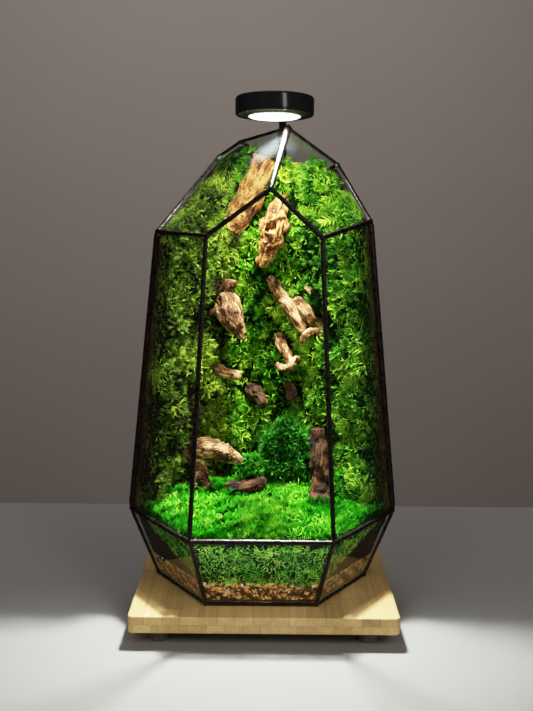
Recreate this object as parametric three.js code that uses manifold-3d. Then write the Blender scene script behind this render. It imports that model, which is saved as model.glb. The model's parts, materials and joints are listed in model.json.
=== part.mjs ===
// A faceted glass jar planted as a moss wall with driftwood, on a bamboo board, under a round lamp.
// Millimetres, +Z up. The origin is on the table, under the middle of the board.

import * as THREE from "three";
import { mergeVertices } from "three/addons/utils/BufferGeometryUtils.js";
import Module from "manifold-3d";

const wasm = await Module();
wasm.setup();

// ---------------------------------------------------------------- driving dimensions

const GAP = 0.3; // clearance between neighbouring pieces

const BOARD_SIDE = 300;
const BOARD_THICK = 19;
const BOARD_CORNER = 7;
const BOARD_EDGE = 1.2; // eased edge along the top and bottom
const BOARD_X = 3.4; // the jar stands a little left of the board's middle
const FOOT_HEIGHT = 17;
const FOOT_RADIUS = 12.5;
const FOOT_REACH = 118; // from the board's middle to a foot's axis

const AXIS_Y = -4.9; // the jar's axis, in front of the board's middle
const BASE_RADIUS = 124.6; // corner radius of the base pane
const MID_RADIUS = 158; // corner radius of the widest ring
const MID_Z = 80.1; // height of the widest ring
const WALL_LEAN = 0.098; // how much the corner radius shrinks per millimetre of height
const LEFT_TOP_Z = 413.3;
const FRONT_LEFT_TOP_Z = 412;
const FRONT_RIGHT_TOP_Z = 411.2;
const RIGHT_TOP_Z = 427.4;
const APEX = new THREE.Vector3(26.5, 34, 535.5);
const RIDGE_LEFT_X = -31; // where the left back ridge meets the back wall
const RIDGE_RIGHT_X = 87; // where the right back ridge meets the back right wall

const GLASS_THICK = 2;
const CAME_RADIUS = 2.2;
const PANE_INSET = CAME_RADIUS + GAP; // a foiled pane's edge butts against the solder strip
const CAME_SIDES = 6;
const BEAD_RADIUS = 3.1; // the bead of solder at a corner
const STRIP_SHORT = 1.3; // a strip ends this far from the corner, inside its bead

const LAMP_CENTRE = new THREE.Vector3(10.6, 0, 545); // middle of the lens's lower face
const LAMP_RADIUS = 45.75;
const LAMP_HEIGHT = 24;
const LAMP_TILT = -5; // degrees, the underside faces slightly forward
const LAMP_SIDES = 20;
const LENS_RADIUS = 30;
const HOUSING_WALL = 2.5;
const BEZEL_OUT = 42;
const POLE_RADIUS = 5;
const POLE_FLANGE = 8; // radius of the foot that holds the pole to the board
const POLE_X = 21.7;
const POLE_Y = 146.5;
const POLE_TOP_Z = 535;
const ARM_RISE = 22; // the arm's bend goes this much higher than the pole

const CLEAR_OF_CAME = 2.8; // everything planted keeps this far inside the wall planes
const GRAVEL_TOP = 25;
const SOIL_FRONT_Z = 69;
const SOIL_SLOPE = 0.11; // the soil rises towards the back
const CARPET_THICK = 7;
const TUFT_HEIGHT = 5;
const BACKING_DEPTH = 14; // the fibre board's inner face, behind the wall plane
const BACKING_SET_BACK = 5; // under the roof
const BACKING_WRAP = 6; // degrees that the board reaches round a corner of the jar
const MOSS_DEPTH = 25; // the wall moss's inner face between its sprays, behind the wall plane
const TIP_OUT = 11; // how far its sprays stand out
const MOSS_WRAP = 15; // degrees that the moss is pressed round a corner of the jar
const MOSS_SET_BACK = 13; // under the roof

// ---------------------------------------------------------------- finishes

const finish = (color, roughness, metalness = 0) =>
  new THREE.MeshStandardMaterial({ color, roughness, metalness });

const bamboo = finish(0xc9a468, 0.5);
const footFinish = finish(0x6b5a50, 0.4);
const solder = finish(0x1d1614, 0.4, 0.7);
const glass = new THREE.MeshStandardMaterial({
  color: 0xdfe8e4,
  roughness: 0.04,
  transparent: true,
  opacity: 0.2,
});
const lampBlack = finish(0x141418, 0.2, 0.3);
const lensWhite = finish(0xf6f8ff, 0.3);
const fibre = finish(0x2b1b12, 0.95);
const earth = finish(0x4a3b2c, 0.95);
const gravelStone = finish(0xc9853c, 0.6);
const wood = finish(0x8a5a2e, 0.8);
const brightMoss = finish(0x3fa81c, 0.9);
const oliveMoss = finish(0x5c7a1e, 0.9);
const deepMoss = finish(0x1f6b1a, 0.9);
const yellowMoss = finish(0x8fae2c, 0.9);

// ---------------------------------------------------------------- general helpers

// A repeatable draw of numbers from 0 to 1.
function seeded(seed) {
  let state = seed;
  return () => {
    state = (state * 1664525 + 1013904223) % 4294967296;
    return state / 4294967296;
  };
}

// A repeatable number from -0.5 to 0.5 for a place in a grid.
function scatter(i, j, seed) {
  const wave = Math.sin(i * 127.1 + j * 311.7 + seed * 74.7) * 43758.5453;
  return wave - Math.floor(wave) - 0.5;
}

const v3 = (x, y, z) => new THREE.Vector3(x, y, z);
const between = (draw, low, high) => low + (high - low) * draw();
const radians = THREE.MathUtils.degToRad;

// A closed geometry as a solid that can be joined and cut.
function solidOf(geometry, matrix = new THREE.Matrix4()) {
  const bare = geometry.clone().applyMatrix4(matrix);
  bare.deleteAttribute("normal");
  bare.deleteAttribute("uv");
  const merged = mergeVertices(bare);
  return new wasm.Manifold(
    new wasm.Mesh({
      numProp: 3,
      vertProperties: merged.attributes.position.array,
      triVerts: Uint32Array.from(merged.index.array),
    }),
  );
}

// Joins neighbours in pairs, then pairs of pairs, which keeps each join small.
function joinAll(solids) {
  let row = solids;
  while (row.length > 1) {
    const next = [];
    for (let i = 0; i < row.length; i += 2) {
      next.push(i + 1 < row.length ? row[i].add(row[i + 1]) : row[i]);
    }
    row = next;
  }
  return row[0];
}

// The largest body of a solid, as a geometry: cutting can leave a loose scrap, which is dropped.
function mainBody(solid) {
  const mesh = solid.getMesh();
  const { triVerts, vertProperties, numProp } = mesh;
  const parent = Array.from({ length: mesh.numVert }, (_, i) => i);
  const rootOf = (v) => {
    while (parent[v] !== v) {
      parent[v] = parent[parent[v]];
      v = parent[v];
    }
    return v;
  };
  for (let t = 0; t < triVerts.length; t += 3) {
    parent[rootOf(triVerts[t])] = rootOf(triVerts[t + 1]);
    parent[rootOf(triVerts[t + 1])] = rootOf(triVerts[t + 2]);
  }
  const corner = (v) => new THREE.Vector3().fromArray(vertProperties, v * numProp);
  const volumes = new Map();
  for (let t = 0; t < triVerts.length; t += 3) {
    const [a, b, c] = [0, 1, 2].map((k) => corner(triVerts[t + k]));
    const body = rootOf(triVerts[t]);
    volumes.set(body, (volumes.get(body) ?? 0) + a.dot(b.cross(c)) / 6);
  }
  const largest = [...volumes].sort((a, b) => b[1] - a[1])[0][0];
  const kept = [];
  for (let t = 0; t < triVerts.length; t += 3) {
    if (rootOf(triVerts[t]) === largest) {
      kept.push(triVerts[t], triVerts[t + 1], triVerts[t + 2]);
    }
  }
  const used = new Map();
  const positions = [];
  const index = kept.map((v) => {
    if (!used.has(v)) {
      used.set(v, used.size);
      positions.push(...corner(v).toArray());
    }
    return used.get(v);
  });
  const geometry = new THREE.BufferGeometry();
  geometry.setAttribute("position", new THREE.Float32BufferAttribute(positions, 3));
  geometry.setIndex(index);
  geometry.computeVertexNormals();
  return geometry;
}

function meshOf(name, geometry, material) {
  const mesh = new THREE.Mesh(geometry, material);
  mesh.name = name;
  return mesh;
}

// A closed skin over rings of points, from a start point to an end point.
function loft(start, rings, end) {
  const columns = rings[0].length;
  const points = [start, ...rings.flat(), end];
  const at = (ring, column) => 1 + ring * columns + (column % columns);
  const last = points.length - 1;
  const index = [];
  for (let i = 0; i < columns; i += 1) {
    index.push(0, at(0, i), at(0, i + 1));
    for (let k = 0; k + 1 < rings.length; k += 1) {
      index.push(at(k, i), at(k + 1, i), at(k + 1, i + 1));
      index.push(at(k, i), at(k + 1, i + 1), at(k, i + 1));
    }
    index.push(last, at(rings.length - 1, i + 1), at(rings.length - 1, i));
  }
  return new THREE.BufferGeometry().setFromPoints(points).setIndex(index);
}

// A closed slab between two grids of points: front(u, v) and back(u, v), with u and v from 0 to 1.
function slab(columns, rows, front, back) {
  const points = [];
  [front, back].forEach((face) => {
    for (let i = 0; i <= columns; i += 1) {
      for (let j = 0; j <= rows; j += 1) {
        points.push(face(i / columns, j / rows));
      }
    }
  });
  const size = (columns + 1) * (rows + 1);
  const f = (i, j) => i * (rows + 1) + j;
  const b = (i, j) => size + f(i, j);
  const index = [];
  const quad = (p, q, r, s) => index.push(p, q, r, p, r, s);
  for (let i = 0; i < columns; i += 1) {
    for (let j = 0; j < rows; j += 1) {
      quad(f(i, j), f(i + 1, j), f(i + 1, j + 1), f(i, j + 1));
      quad(b(i, j), b(i, j + 1), b(i + 1, j + 1), b(i + 1, j));
    }
    quad(f(i, 0), b(i, 0), b(i + 1, 0), f(i + 1, 0));
    quad(f(i, rows), f(i + 1, rows), b(i + 1, rows), b(i, rows));
  }
  for (let j = 0; j < rows; j += 1) {
    quad(b(0, j), f(0, j), f(0, j + 1), b(0, j + 1));
    quad(f(columns, j), b(columns, j), b(columns, j + 1), f(columns, j + 1));
  }
  return new THREE.BufferGeometry().setFromPoints(points).setIndex(index);
}

// A closed block: a fine grid in front, front(i, j), and one flat panel a row behind it, back(side, j).
function reliefBlock(columns, rows, front, back) {
  const points = [];
  for (let i = 0; i <= columns; i += 1) {
    for (let j = 0; j <= rows; j += 1) {
      points.push(front(i, j));
    }
  }
  for (let j = 0; j <= rows; j += 1) {
    points.push(back(0, j), back(1, j));
  }
  const f = (i, j) => i * (rows + 1) + j;
  const b = (side, j) => (columns + 1) * (rows + 1) + 2 * j + side;
  const index = [];
  const quad = (p, q, r, s) => index.push(p, q, r, p, r, s);
  const half = Math.floor(columns / 2);
  for (let j = 0; j < rows; j += 1) {
    for (let i = 0; i < columns; i += 1) {
      quad(f(i, j), f(i + 1, j), f(i + 1, j + 1), f(i, j + 1));
    }
    quad(b(0, j), b(0, j + 1), b(1, j + 1), b(1, j));
    quad(b(0, j), f(0, j), f(0, j + 1), b(0, j + 1));
    quad(f(columns, j), b(1, j), b(1, j + 1), f(columns, j + 1));
  }
  for (let i = 0; i < columns; i += 1) {
    const side = i < half ? 0 : 1;
    index.push(f(i + 1, 0), f(i, 0), b(side, 0), f(i, rows), f(i + 1, rows), b(side, rows));
  }
  index.push(f(half, 0), b(0, 0), b(1, 0), f(half, rows), b(1, rows), b(0, rows));
  return new THREE.BufferGeometry().setFromPoints(points).setIndex(index);
}

// ---------------------------------------------------------------- the jar's own geometry

const SIDE_ANGLES = [180, 240, 300, 0, 60, 120];
const APOTHEM = Math.cos(radians(30)); // of a hexagon with corner radius 1

function cornerRadius(z) {
  if (z < MID_Z) {
    return THREE.MathUtils.mapLinear(z, 0, MID_Z, BASE_RADIUS, MID_RADIUS);
  }
  return MID_RADIUS - WALL_LEAN * (z - MID_Z);
}

function polar(degrees, radius, z) {
  const angle = radians(degrees);
  return new THREE.Vector3(radius * Math.cos(angle), radius * Math.sin(angle), z);
}

// Distance from the axis to a surface that lies depth inside the wall, in a given direction.
function wallDistance(degrees, z, depth) {
  const fromFace = ((((degrees % 60) + 60) % 60) - 30) * (Math.PI / 180);
  return (cornerRadius(z) * APOTHEM - depth) / Math.cos(fromFace);
}

const jarCorner = (degrees, z) => polar(degrees, cornerRadius(z), z);
const planeOf = (a, b, c) => new THREE.Plane().setFromCoplanarPoints(a, b, c);

function meet(from, to, plane) {
  return plane.intersectLine(new THREE.Line3(from, to), new THREE.Vector3());
}

const base = SIDE_ANGLES.map((angle) => jarCorner(angle, 0));
const mid = SIDE_ANGLES.map((angle) => jarCorner(angle, MID_Z));
const HIGH = 700; // above everything, for lines that reach through the roof

const topLeft = jarCorner(180, LEFT_TOP_Z);
const topFrontLeft = jarCorner(240, FRONT_LEFT_TOP_Z);
const topFrontRight = jarCorner(300, FRONT_RIGHT_TOP_Z);
const topRight = jarCorner(0, RIGHT_TOP_Z);
const leftRoof = planeOf(topLeft, topFrontLeft, APEX);
const rightRoof = planeOf(topFrontRight, topRight, APEX);
const frontWall = planeOf(mid[1], mid[2], topFrontLeft);
const ridgeRun = new THREE.Vector3().crossVectors(rightRoof.normal, leftRoof.normal).setLength(HIGH);
const frontPeak = meet(APEX.clone().sub(ridgeRun), APEX.clone().add(ridgeRun), frontWall);
const backWallPoint = (x, z) => new THREE.Vector3(x, cornerRadius(z) * APOTHEM, z);
const backRightWallPoint = (x, z) =>
  new THREE.Vector3(x, (cornerRadius(z) * APOTHEM - x * APOTHEM) / 0.5, z);
const ridgeLeft = meet(backWallPoint(RIDGE_LEFT_X, MID_Z), backWallPoint(RIDGE_LEFT_X, HIGH), leftRoof);
const ridgeRight = meet(
  backRightWallPoint(RIDGE_RIGHT_X, MID_Z),
  backRightWallPoint(RIDGE_RIGHT_X, HIGH),
  rightRoof,
);
const backRoof = planeOf(APEX, ridgeRight, ridgeLeft);
const topBackRight = meet(mid[4], jarCorner(60, HIGH), backRoof);
const topBackLeft = meet(mid[5], jarCorner(120, HIGH), leftRoof);

const upperPanes = {
  front_left: [mid[0], mid[1], topFrontLeft, topLeft],
  front_right: [mid[2], mid[3], topRight, topFrontRight],
  back_right: [mid[3], mid[4], topBackRight, ridgeRight, topRight],
  back: [mid[4], mid[5], topBackLeft, ridgeLeft, topBackRight],
  back_left: [mid[5], mid[0], topLeft, topBackLeft],
};
const roofPanes = {
  left: [topLeft, topFrontLeft, frontPeak, APEX, ridgeLeft, topBackLeft],
  right: [topFrontRight, topRight, ridgeRight, APEX, frontPeak],
  back: [APEX, ridgeRight, topBackRight, ridgeLeft],
};
const SIDE_NAMES = ["front_left", "front", "front_right", "back_right", "back", "back_left"];
const lowerPanes = Object.fromEntries(
  SIDE_NAMES.map((name, i) => [name, [base[i], base[(i + 1) % 6], mid[(i + 1) % 6], mid[i]]]),
);
const windowOutline = [mid[1], mid[2], topFrontRight, frontPeak, topFrontLeft];

const ring = (points) => points.map((point, i) => [point, points[(i + 1) % points.length]]);
const midEdges = ring(mid);
const eavesEdges = ring([
  topLeft,
  topFrontLeft,
  frontPeak,
  topFrontRight,
  topRight,
  ridgeRight,
  topBackRight,
  ridgeLeft,
  topBackLeft,
]);
const ridgeEnds = [frontPeak, ridgeLeft, ridgeRight];
const uprightTops = [topLeft, topFrontLeft, topFrontRight, topRight, topBackRight, topBackLeft];
const UPRIGHT_NAMES = ["left", "front_left", "front_right", "right", "back_right", "back_left"];

// Outward plane of a pane, whichever way round its corners run.
function outwardPlane(points) {
  const plane = planeOf(points[0], points[1], points[2]);
  return plane.distanceToPoint(new THREE.Vector3(0, 0, MID_Z)) > 0 ? plane.negate() : plane;
}

const roofPlanes = Object.values(roofPanes).map(outwardPlane);
const wallPlanes = [
  ...Object.values(upperPanes),
  ...Object.values(lowerPanes),
  windowOutline,
].map(outwardPlane);

// The roof's height over a point.
function roofHeight(x, y) {
  const heights = roofPlanes.map(
    ({ normal, constant }) => -(constant + normal.x * x + normal.y * y) / normal.z,
  );
  return Math.min(...heights);
}

// The space inside the jar, a given distance in from its walls and roof.
function insideJar(offset, floor) {
  const size = 1200;
  const block = new THREE.BoxGeometry(size, size, size);
  const place = (normal, distance) =>
    new THREE.Matrix4().compose(
      normal.clone().multiplyScalar(distance + size / 2),
      new THREE.Quaternion().setFromUnitVectors(new THREE.Vector3(0, 0, 1), normal),
      new THREE.Vector3(1, 1, 1),
    );
  const bounds = new THREE.BoxGeometry(size / 2, size / 2, size).translate(0, 0, size / 2 + floor);
  let room = solidOf(bounds);
  [...wallPlanes, ...roofPlanes].forEach(({ normal, constant }) => {
    room = room.subtract(solidOf(block, place(normal, -constant - offset)));
  });
  return room;
}

// ---------------------------------------------------------------- panes and came

// A convex outline drawn in by a margin, with each corner cut back to leave room for a bead of solder.
function insetOutline(points, margin, beadRoom) {
  const lines = points.map((point, i) => {
    const along = points[(i + 1) % points.length].clone().sub(point).normalize();
    const inward = new THREE.Vector2(-along.y, along.x);
    return { start: point.clone().addScaledVector(inward, margin), along };
  });
  return lines.flatMap((line, i) => {
    const before = lines[(i + lines.length - 1) % lines.length];
    const run = line.start.clone().sub(before.start).cross(line.along) / before.along.cross(line.along);
    const corner = before.start.clone().addScaledVector(before.along, run);
    const halfAngle = (Math.PI - before.along.angleTo(line.along)) / 2;
    const cut = Math.max(0.2, (beadRoom - corner.distanceTo(points[i])) / Math.cos(halfAngle));
    return [
      corner.clone().addScaledVector(before.along, -cut),
      corner.clone().addScaledVector(line.along, cut),
    ];
  });
}

// A flat plate on a pane's plane: its geometry in the pane's own axes, and the place of those axes.
function plate(corners) {
  const { normal } = outwardPlane(corners);
  const across = corners[1].clone().sub(corners[0]).normalize();
  const up = new THREE.Vector3().crossVectors(normal, across);
  const flat = corners.map((point) => {
    const from = point.clone().sub(corners[0]);
    return new THREE.Vector2(from.dot(across), from.dot(up));
  });
  if (THREE.ShapeUtils.isClockWise(flat)) {
    flat.reverse();
  }
  const outline = new THREE.Shape(insetOutline(flat, PANE_INSET, BEAD_RADIUS + GAP));
  const geometry = new THREE.ExtrudeGeometry(outline, { depth: GLASS_THICK, bevelEnabled: false });
  geometry.translate(0, 0, -GLASS_THICK / 2);
  const matrix = new THREE.Matrix4().makeBasis(across, up, normal).setPosition(corners[0]);
  return { geometry, matrix };
}

// A straight strip between two corners, which ends a set distance short of each.
function strip(from, to, shortFrom = STRIP_SHORT, shortTo = STRIP_SHORT) {
  const along = to.clone().sub(from).normalize();
  const start = from.clone().addScaledVector(along, shortFrom);
  const end = to.clone().addScaledVector(along, -shortTo);
  const rod = new THREE.CylinderGeometry(CAME_RADIUS, CAME_RADIUS, start.distanceTo(end), CAME_SIDES);
  const matrix = new THREE.Matrix4().compose(
    start.lerp(end, 0.5),
    new THREE.Quaternion().setFromUnitVectors(new THREE.Vector3(0, 1, 0), along),
    new THREE.Vector3(1, 1, 1),
  );
  return solidOf(rod, matrix);
}

function bead(corner) {
  const place = new THREE.Matrix4().makeTranslation(corner.x, corner.y, corner.z);
  return solidOf(new THREE.IcosahedronGeometry(BEAD_RADIUS, 0), place);
}

// How far from a corner a strip has to end to stay clear of a frame that meets it there.
function clearOf(corner, other, frame) {
  const along = other.clone().sub(corner);
  const runs = frame
    .filter((edge) => edge.includes(corner))
    .map(([from, to]) => {
      const angle = along.angleTo((from === corner ? to : from).clone().sub(corner));
      return (CAME_RADIUS + GAP + CAME_RADIUS * Math.cos(angle)) / Math.sin(angle);
    });
  return Math.max(BEAD_RADIUS + GAP, ...runs);
}

// Strips soldered into one frame, with a bead of solder at each corner.
function frameOf(edges) {
  const corners = [...new Set(edges.flat())];
  return joinAll([...edges.map(([from, to]) => strip(from, to)), ...corners.map(bead)]);
}

function addPanes(jar) {
  const add = (name, corners) => {
    const { geometry, matrix } = plate(corners);
    const pane = meshOf(name, geometry, glass);
    pane.applyMatrix4(matrix);
    jar.add(pane);
  };
  add("glass_base", base);
  Object.entries(lowerPanes).forEach(([side, corners]) => add(`glass_lower_${side}`, corners));
  Object.entries(upperPanes).forEach(([side, corners]) => add(`glass_wall_${side}`, corners));
  Object.entries(roofPanes).forEach(([side, corners]) => add(`glass_roof_${side}`, corners));
}

function addCame(jar) {
  const add = (name, solid) => jar.add(meshOf(name, mainBody(solid), solder));
  const ribs = base.map((corner, i) => {
    const end = mid[i];
    return strip(corner, end, STRIP_SHORT, clearOf(end, corner, midEdges));
  });
  const deck = new THREE.BoxGeometry(3 * BASE_RADIUS, 3 * BASE_RADIUS, 10);
  deck.translate(0, 0, -5 - CAME_RADIUS);
  add("came_base", joinAll([frameOf(ring(base)), ...ribs]).subtract(solidOf(deck)));
  add("came_mid_ring", frameOf(midEdges));
  add("came_eaves", frameOf(eavesEdges));
  const ridges = ridgeEnds.map((end) => {
    const short = clearOf(end, APEX, eavesEdges);
    return strip(APEX, end, STRIP_SHORT, short);
  });
  add("came_ridges", joinAll([bead(APEX), ...ridges]));
  UPRIGHT_NAMES.forEach((name, i) => {
    const [foot, top] = [mid[i], uprightTops[i]];
    const upright = strip(foot, top, clearOf(foot, top, midEdges), clearOf(top, foot, eavesEdges));
    add(`came_upright_${name}`, upright);
  });
}

// ---------------------------------------------------------------- board and feet

function boardOutline() {
  const half = BOARD_SIDE / 2 - BOARD_EDGE;
  const round = BOARD_CORNER - BOARD_EDGE;
  const outline = new THREE.Shape();
  [0, 90, 180, 270].forEach((start) => {
    const middle = polar(start + 45, (half - round) * Math.SQRT2, 0);
    outline.absarc(middle.x, middle.y, round, radians(start), radians(start + 90), false);
  });
  return outline;
}

function addBoard(whole) {
  const geometry = new THREE.ExtrudeGeometry(boardOutline(), {
    depth: BOARD_THICK - 2 * BOARD_EDGE,
    bevelThickness: BOARD_EDGE,
    bevelSize: BOARD_EDGE,
    bevelSegments: 1,
    curveSegments: 3,
  });
  const board = meshOf("board", geometry, bamboo);
  board.position.set(BOARD_X, 0, FOOT_HEIGHT + BOARD_EDGE);
  whole.add(board);
}

function addFeet(whole) {
  const profile = [
    [0, 0],
    [FOOT_RADIUS - 1, 0],
    [FOOT_RADIUS, 1],
    [FOOT_RADIUS - 0.8, FOOT_HEIGHT],
    [0, FOOT_HEIGHT],
  ].map(([x, y]) => new THREE.Vector2(x, y));
  const places = { front_left: [-1, -1], front_right: [1, -1], back_right: [1, 1], back_left: [-1, 1] };
  Object.entries(places).forEach(([name, [x, y]]) => {
    const foot = meshOf(`foot_${name}`, new THREE.LatheGeometry(profile, 12), footFinish);
    foot.rotation.x = Math.PI / 2;
    foot.position.set(BOARD_X + x * FOOT_REACH, y * FOOT_REACH, 0);
    whole.add(foot);
  });
}

// ---------------------------------------------------------------- lamp

// A turned piece from a profile of [radius, height] points, standing along +Z.
function turned(profile, sides) {
  const points = profile.map(([x, y]) => new THREE.Vector2(x, y));
  if (THREE.ShapeUtils.isClockWise(points)) {
    points.reverse();
  }
  return new THREE.LatheGeometry(points, sides).rotateX(Math.PI / 2);
}

function addLamp(jar) {
  const head = new THREE.Group();
  head.position.copy(LAMP_CENTRE);
  head.rotation.x = radians(LAMP_TILT);
  jar.add(head);
  const inner = LAMP_RADIUS - HOUSING_WALL;
  const housingProfile = [
    [0, LAMP_HEIGHT],
    [LAMP_RADIUS - 1.5, LAMP_HEIGHT],
    [LAMP_RADIUS, LAMP_HEIGHT - 1.5],
    [LAMP_RADIUS, 5],
    [LAMP_RADIUS - 1.8, 3],
    [inner, 3],
    [inner, 9],
    [inner - 1.5, 9],
    [inner - 1.5, LAMP_HEIGHT - 3],
    [0, LAMP_HEIGHT - 3],
  ];
  head.add(meshOf("lamp_housing", turned(housingProfile, LAMP_SIDES), lampBlack));
  const bezelProfile = [
    [BEZEL_OUT, 3.4],
    [BEZEL_OUT + 0.9, 8.6],
    [LENS_RADIUS + 2, 8.6],
    [LENS_RADIUS + GAP, 4.4],
    [LENS_RADIUS + GAP, 1.2],
    [LENS_RADIUS + 4, 1.2],
    [LENS_RADIUS + 5, 2.8],
    [BEZEL_OUT - 2, 3.4],
    [BEZEL_OUT, 3.4],
  ];
  head.add(meshOf("lamp_bezel", turned(bezelProfile, LAMP_SIDES), lampBlack));
  const lensProfile = [
    [0, 0],
    [LENS_RADIUS - 2, 0],
    [LENS_RADIUS, 1.5],
    [LENS_RADIUS, 4.1],
    [0, 4.1],
  ];
  head.add(meshOf("lamp_lens", turned(lensProfile, LAMP_SIDES), lensWhite));
  const lightPlate = new THREE.CylinderGeometry(LENS_RADIUS + 7, LENS_RADIUS + 7, 1.6, LAMP_SIDES);
  lightPlate.rotateX(Math.PI / 2);
  lightPlate.translate(0, 0, 8.6 + GAP + 0.8);
  head.add(meshOf("lamp_light_plate", lightPlate, lensWhite));
  addLampStand(jar, head);
}

function addLampStand(jar, head) {
  const deck = -CAME_RADIUS - GAP; // the board's top, in the jar's own heights
  const poleHeight = POLE_TOP_Z - deck - GAP;
  const poleProfile = [
    [0, 0],
    [POLE_FLANGE, 0],
    [POLE_FLANGE, 6],
    [POLE_FLANGE - 1, 8],
    [POLE_RADIUS, 8],
    [POLE_RADIUS, poleHeight],
    [0, poleHeight],
  ];
  const pole = meshOf("lamp_pole", turned(poleProfile, 16), lampBlack);
  pole.position.set(POLE_X, POLE_Y, deck + GAP);
  jar.add(pole);

  const bend = new THREE.CatmullRomCurve3([
    new THREE.Vector3(POLE_X, POLE_Y, POLE_TOP_Z + GAP),
    new THREE.Vector3(POLE_X, POLE_Y - 2, POLE_TOP_Z + ARM_RISE * 0.55),
    new THREE.Vector3(POLE_X - 1, POLE_Y - 14, POLE_TOP_Z + ARM_RISE * 0.95),
    new THREE.Vector3(POLE_X - 4, POLE_Y - 50, POLE_TOP_Z + ARM_RISE),
    new THREE.Vector3(LAMP_CENTRE.x + 2, LAMP_RADIUS - 4, POLE_TOP_Z + ARM_RISE + 1),
  ]);
  const section = new THREE.Shape().absarc(0, 0, POLE_RADIUS, 0, 2 * Math.PI);
  const arm = new THREE.ExtrudeGeometry(section, { steps: 12, curveSegments: 5, extrudePath: bend });
  head.updateMatrix();
  const headProfile = [
    [0, 0],
    [LAMP_RADIUS + GAP, 0],
    [LAMP_RADIUS + GAP, LAMP_HEIGHT + GAP],
    [0, LAMP_HEIGHT + GAP],
  ];
  const headRoom = solidOf(turned(headProfile, LAMP_SIDES), head.matrix);
  const poleRoom = solidOf(
    new THREE.CylinderGeometry(POLE_RADIUS + 1, POLE_RADIUS + 1, 10, 16).rotateX(Math.PI / 2),
    new THREE.Matrix4().makeTranslation(POLE_X, POLE_Y, POLE_TOP_Z - 5 + GAP),
  );
  const bentTube = solidOf(arm).subtract(headRoom).subtract(poleRoom);
  jar.add(meshOf("lamp_arm", mainBody(bentTube), lampBlack));
}

// ---------------------------------------------------------------- planting: shapes

// The ground rises towards the back, with low waves in it.
function soilTop(x, y) {
  const slope = SOIL_SLOPE * (y + MID_RADIUS * APOTHEM);
  return SOIL_FRONT_Z + slope + 1.5 * Math.sin(x / 17) * Math.cos(y / 23);
}

function carpetTop(x, y) {
  const waves = 2 * Math.sin(x / 9 + y / 14) + 1.6 * Math.cos(x / 6 - y / 8);
  return soilTop(x, y) + CARPET_THICK + waves;
}

// How far the wall moss swells out of its mean surface.
function swell(degrees, z) {
  const broad = 4.5 * Math.sin(z / 21 + degrees / 9);
  const middling = 3 * Math.sin(z / 12 - degrees / 6);
  const fine = 1.5 * Math.cos(z / 7 + degrees / 4);
  return broad + middling + fine;
}

// A layer that fills the jar from wall to wall: it has a flat underside and a shaped top.
function layer({ columns, rings, sideRows, bottom, topAt, depthAt, grow }) {
  const angles = Array.from({ length: columns }, (_, i) => (360 * i) / columns);
  const reach = (angle, z) => wallDistance(angle, z, depthAt(angle, z)) + grow;
  const edgeHeight = (angle) => {
    const point = polar(angle, reach(angle, MID_Z), 0);
    return topAt(point.x, point.y) + grow;
  };
  const rows = [];
  for (let k = 1; k <= rings; k += 1) {
    rows.push(
      angles.map((angle) => {
        const point = polar(angle, (reach(angle, edgeHeight(angle)) * k) / rings, 0);
        point.z = k === rings ? edgeHeight(angle) : topAt(point.x, point.y) + grow;
        return point;
      }),
    );
  }
  for (let k = 1; k <= sideRows; k += 1) {
    rows.push(
      angles.map((angle) => {
        const z = THREE.MathUtils.lerp(edgeHeight(angle), bottom - grow, k / sideRows);
        return polar(angle, reach(angle, z), z);
      }),
    );
  }
  const start = new THREE.Vector3(0, 0, topAt(0, 0) + grow);
  return solidOf(loft(start, rows, new THREE.Vector3(0, 0, bottom - grow)));
}

// A sheet that lines the walls between two directions, from one depth to another.
function lining({ from, to, columns, rows, bottomAt, topAt, outerAt, innerAt, grow }) {
  const growDegrees = 0.4 * grow; // about grow millimetres at the walls
  const atEnds = (t) => (t === 1) - (t === 0);
  const face = (depthAt, side) => (u, v) => {
    const angle = THREE.MathUtils.lerp(from, to, u);
    const z = THREE.MathUtils.lerp(bottomAt(angle), topAt(angle), v);
    const turn = angle + atEnds(u) * growDegrees;
    const height = z + atEnds(v) * grow;
    return polar(turn, wallDistance(turn, height, depthAt(angle, z) - side * grow), height);
  };
  return solidOf(slab(columns, rows, face(outerAt, 1), face(innerAt, -1)));
}

// The height at which a sheet against the wall ends, a set distance under the roof.
function underRoof(angle, depth, setBack) {
  let z = 450;
  for (let i = 0; i < 6; i += 1) {
    const point = polar(angle, wallDistance(angle, z, depth), 0);
    z = roofHeight(point.x, point.y) - setBack;
  }
  return z;
}

function perpendicular(direction) {
  const other = Math.abs(direction.z) < 0.9 ? v3(0, 0, 1) : v3(1, 0, 0);
  return new THREE.Vector3().crossVectors(direction, other).normalize();
}

// A slender three-sided sprig that points along a direction.
function sprig(root, direction, reach, grow) {
  const radius = 1.3 + 1.5 * grow;
  const length = reach + 6 * grow; // a slender tip has to grow this much to grow sideways too
  const cone = new THREE.ConeGeometry(radius, length, 3).translate(0, length / 2, 0);
  const matrix = new THREE.Matrix4().compose(
    root,
    new THREE.Quaternion().setFromUnitVectors(new THREE.Vector3(0, 1, 0), direction),
    new THREE.Vector3(1, 1, 1),
  );
  return solidOf(cone, matrix);
}

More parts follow.
